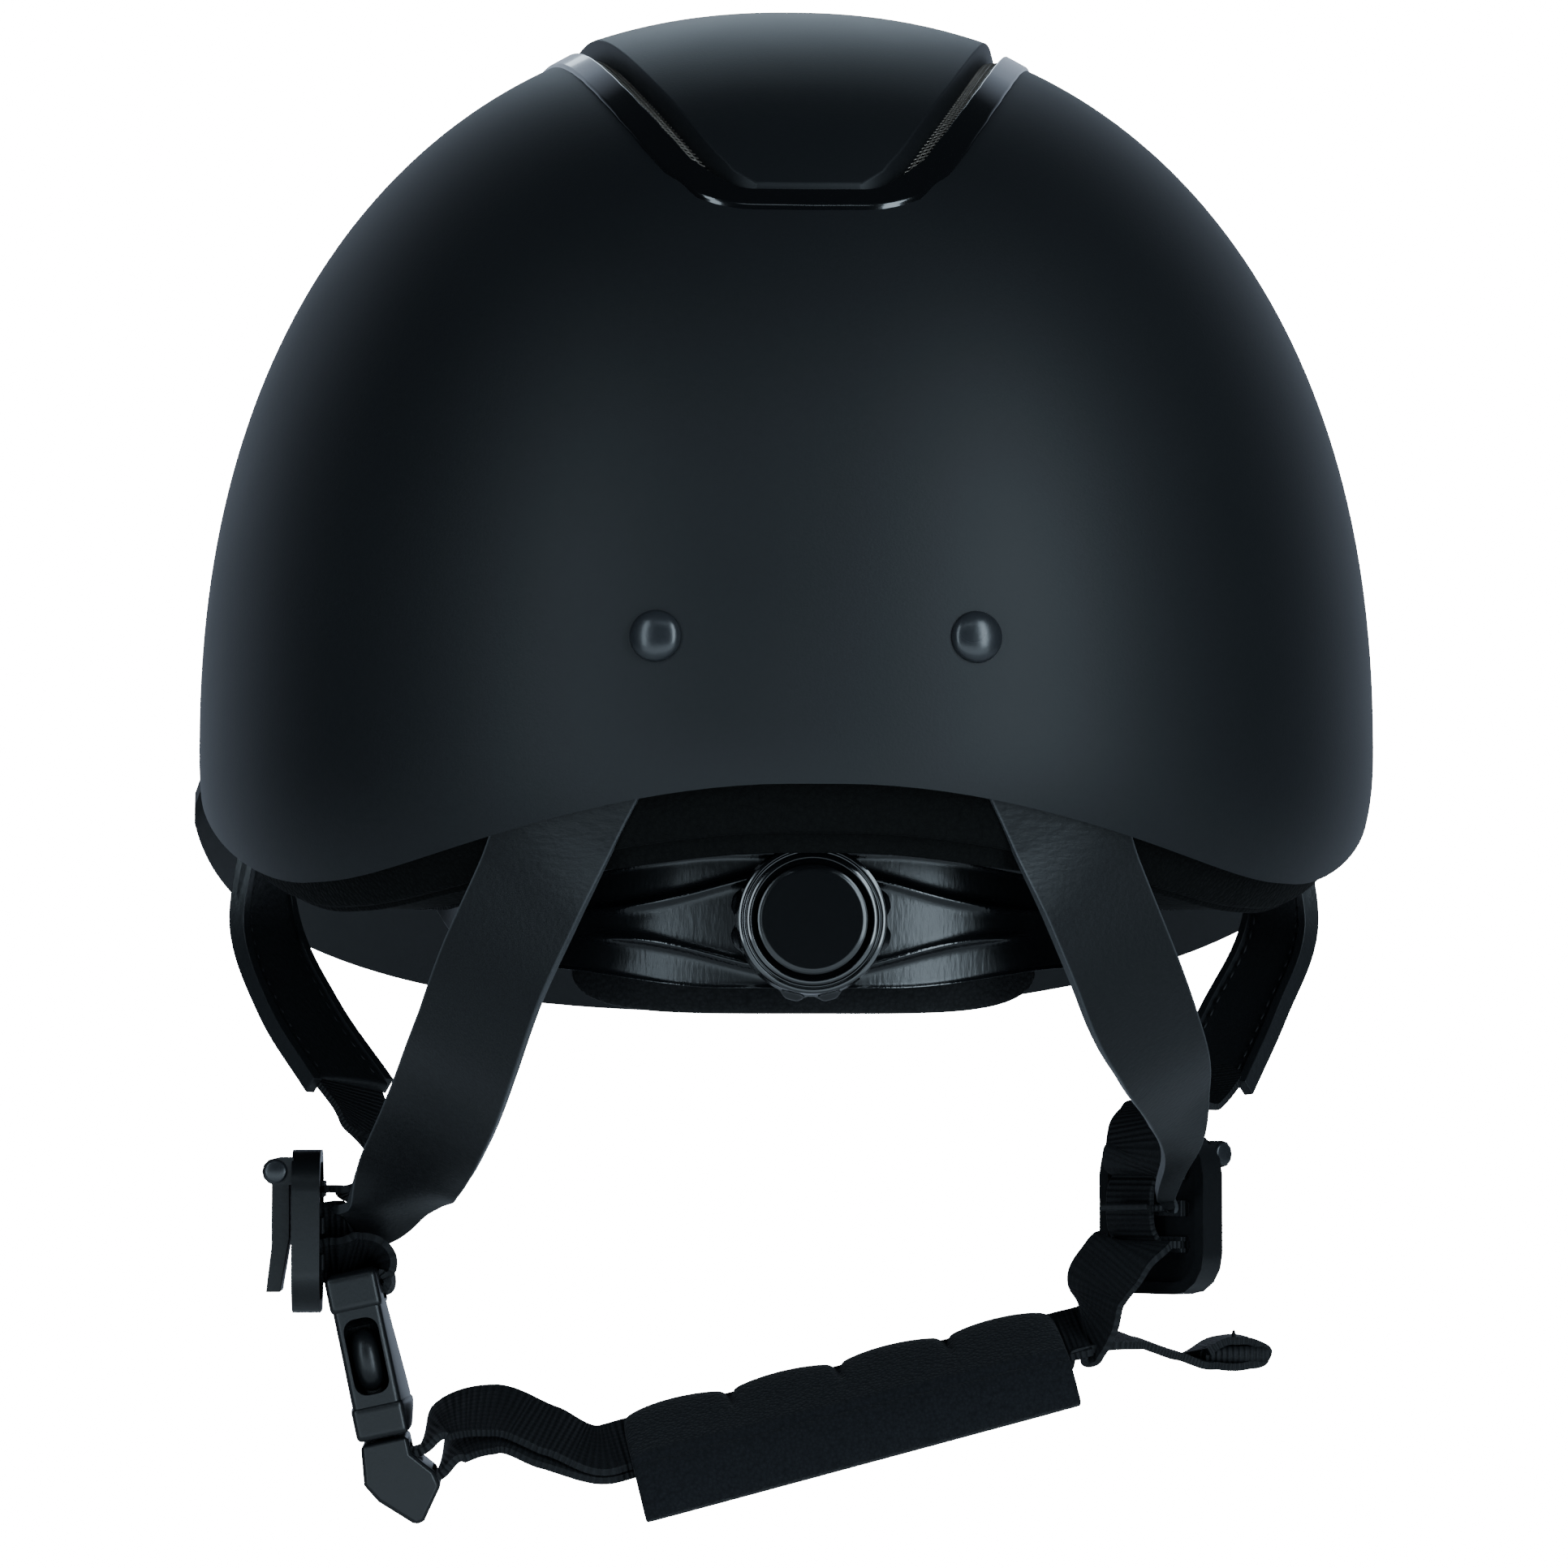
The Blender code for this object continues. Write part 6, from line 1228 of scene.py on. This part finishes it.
def makeChinPad():
    sizes = chinPadSizes
    lower, foldAt = sizes["lower"], sizes["foldAt"]
    along, across, out = chinAxes()
    start = Vector(chin["start"])
    length = (Vector(chin["end"]) - start).length
    hang = Vector(sizes["hang"])
    down = (hang - along * hang.dot(along)).normalized()
    bm = bmesh.new()
    bmesh.ops.create_cube(bm, size=2.0)
    for axis, cuts in ((0, 111), (1, 31), (2, 3)):
        divideAlong(bm, axis, 1.5, cuts)
    for vert in bm.verts:
        lengthwise, breadth, depth = vert.co
        share = (lengthwise + 1.0) / 2.0
        wave = abs(math.sin(math.pi * sizes["lobes"] * share))
        crease = math.exp(-(wave / sizes["creaseWidth"]) ** 2) * smoothStep(0.05, 0.9, breadth)
        half = sizes["wall"] / 2 * math.sqrt(max(0.03, 1.0 - sizes["edgeThin"] * abs(breadth) ** 4))
        half *= 1.0 - sizes["endThin"] * abs(lengthwise) ** 14
        half *= 1.0 - sizes["creaseDepth"] * crease
        half *= 1.0 - sizes["foldDepth"] * math.exp(-((breadth - foldAt) / sizes["foldWidth"]) ** 2)
        if breadth >= foldAt:
            upper = sizes["upper"] - sizes["notch"] * (1.0 - wave ** 0.5)
            place = across * ((upper + lower) * (breadth - foldAt) / (1.0 - foldAt) - lower)
            normal = out
        else:
            fold = (foldAt - breadth) / (foldAt + 1.0)
            size = 1.0 + (sizes["taper"] - 1.0) * share
            place = across * -lower + down * (sizes["flap"] * size * fold)
            turn = smoothStep(0.0, 1.0, fold)
            normal = (out * (1.0 - turn) + along.cross(-down) * turn).normalized()
        vert.co = start + along * (length * share) + place + normal * (half * depth)
    pad = newPiece("chinPad", bm, "chinKnit", "chin_pad", ("chin_pad",))
    addSmooth(pad)


def buckleStop(level, out):
    return buckleFrame @ Vector((out, 0.0, level)), (0.0, 1.0, 0.0)


buckleLoop = stops((-77.5, 0.8, -65.0, 0.0, 0.87, -0.50), (-74.0, 1.6, -65.2, 0.12, 0.88, -0.45),
                   (-71.6, 2.4, -67.4, 0.15, 0.95, -0.20))
upperRun = stops((-61.5, 2.0, -94.5, 0.0, 0.90, 0.40), (-52.0, 1.0, -92.2, 0.0, 0.88, 0.47),
                 (-42.0, 0.0, -95.8, 0.0, 0.88, 0.47))
lowerRun = stops((-58.5, 2.0, -98.5, 0.0, 0.90, 0.40), (-51.0, 1.0, -95.3, 0.0, 0.88, 0.47),
                 (-43.0, 0.0, -98.0, 0.0, 0.88, 0.47))
rightRun = stops((55.6, -4.0, -73.5, -0.42, 0.80, 0.40), (54.8, -1.8, -77.0, -0.28, 0.86, 0.42))
tailRun = stops((60.0, 8.0, -79.7, 0.0, 0.99, 0.08), (69.0, 18.0, -82.0, 0.0, 1.0, 0.0),
                (77.0, 23.5, -84.6, 0.0, 1.0, 0.0), (85.0, 25.5, -85.3, 0.0, 1.0, 0.0),
                (89.0, 26.0, -84.2, 0.0, 1.0, 0.0), (89.7, 26.0, -82.6, 0.0, 1.0, 0.0),
                (87.5, 26.0, -81.2, 0.0, 1.0, 0.0), (82.0, 25.2, -81.0, 0.0, 1.0, 0.0),
                (76.6, 23.6, -83.4, 0.0, 1.0, 0.0))
anchorRun = stops((61.2, -5.6, -63.2, -0.60, 0.75, 0.22), (58.4, -5.6, -66.4, -0.55, 0.75, 0.35))


def makeChinStrap():
    along, across, out = chinAxes()
    start, end = Vector(chin["start"]), Vector(chin["end"])
    half = buckle["wall"] / 2
    width, wall, lead = harness["webWidth"], harness["webWall"], along * chin["lead"]
    ends = slotStops(leftDivider, 2, 0.003, True, -28.0)[::-1]
    loopOut = [buckleStop(buckle["slotLevel"], place) for place in (half + 0.0011, half, -half + 0.0003)]
    webRibbon("buckleWeb", ends + buckleLoop + loopOut, "helmet", ("buckle_webbing",), width, wall)

    def layer(shift):
        return [(place + out * shift, across) for place in (start - lead, start, end, end + lead)]

    upper = [buckleStop(chin["upperBar"], half * share) for share in (0.35, 1.4)]
    webRibbon("chinWebUpper", upper + upperRun + layer(chin["layer"]), "chin_strap", ("chin_webbing",),
              width, wall, steps=12)
    lower = [buckleStop(chin["lowerBar"], half * share) for share in (0.35, 1.9)]
    inPad = layer(-chin["layer"])
    inPad[3] = (end + along * 0.001 - out * chin["layer"], (0.0, 0.98, 0.18))
    webRibbon("chinWebLower", lower + lowerRun + inPad + tailRun, "chin_strap", ("chin_webbing_return",),
              width, wall, steps=12)
    anchor = slotStops(rightDivider, 2, 0.003)[::-1]
    bend = [(Vector(chin["bend"]), (-0.50, 0.77, 0.38))]
    run = anchor + anchorRun + bend + rightRun + layer(chin["layer"])[:0:-1]
    hanging = webRibbon("chinWebRight", run, None, ("chin_webbing_anchor",), width, wall * 0.94, steps=10)
    settle(hanging)
    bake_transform(hanging)


tail = {"size": (0.0128, harness["webWidth"] * 1.01, 0.0033), "place": (0.0838, 0.0254, -0.0832),
        "nub": (0.0833, 0.0180, -0.0797), "nubSize": (0.0004, 0.0004, 0.0011, 1.0)}


def makeTail():  # folded end of the spare webbing, with a loose thread end
    bm = roundedBox(tail["size"], 0.0014, 3)
    bmesh.ops.translate(bm, vec=tail["place"], verts=bm.verts)
    nub = Matrix.Translation(tail["nub"]) @ Matrix.Diagonal(tail["nubSize"])
    bmesh.ops.create_icosphere(bm, subdivisions=2, radius=1.0, matrix=nub)
    setUv(bm, lambda vert: (vert.co.x, vert.co.z))
    newPiece("tailSeam", bm, "ribbedWebbing", "chin_strap")


makeChinPad()
makeChinStrap()
makeTail()
print("chin strap and pad made")

# finishes on the CAD solids that stay
stayFinish = {"satinPlastic": ("dial_back_cover", "dial_pinion"),
              "plainSteel": ("cover_screw_left", "cover_screw_right", "pivot_pin_left", "pivot_pin_right")}
for finish, solids in stayFinish.items():
    for cadName in solids:
        for holder in cadNodes[cadName].material_slots:
            holder.material = looks[finish]

# pale floor, fading out at its edge
floorSizes = {"radius": 1.4, "level": -0.235, "fade": (0.35, 1.3), "colour": (0.86, 0.86, 0.86, 1.0),
              "rough": 0.7}
bm = bmesh.new()
bmesh.ops.create_circle(bm, cap_ends=True, segments=96, radius=floorSizes["radius"])
bmesh.ops.translate(bm, vec=(0.0, 0.0, floorSizes["level"]), verts=bm.verts)
paleFloor = addObject("paleFloor", asMesh("paleFloor", bm))
floorPaint = bpy.data.materials.new("floorPaint")
floorPaint.use_nodes = True
floorTree = floorPaint.node_tree
floorReach = addNode(floorTree, "VectorMath", {0: addNode(floorTree, "TexCoord").outputs["Object"]},
                     operation="LENGTH")
floorFade = fade(floorTree, floorReach.outputs["Value"], *floorSizes["fade"], 1.0, 0.0)
feed(floorTree, floorTree.nodes["Principled BSDF"], {"Base Color": floorSizes["colour"], "Alpha": floorFade,
                                                     "Roughness": floorSizes["rough"]})
paleFloor.data.materials.append(floorPaint)
print("floor made")
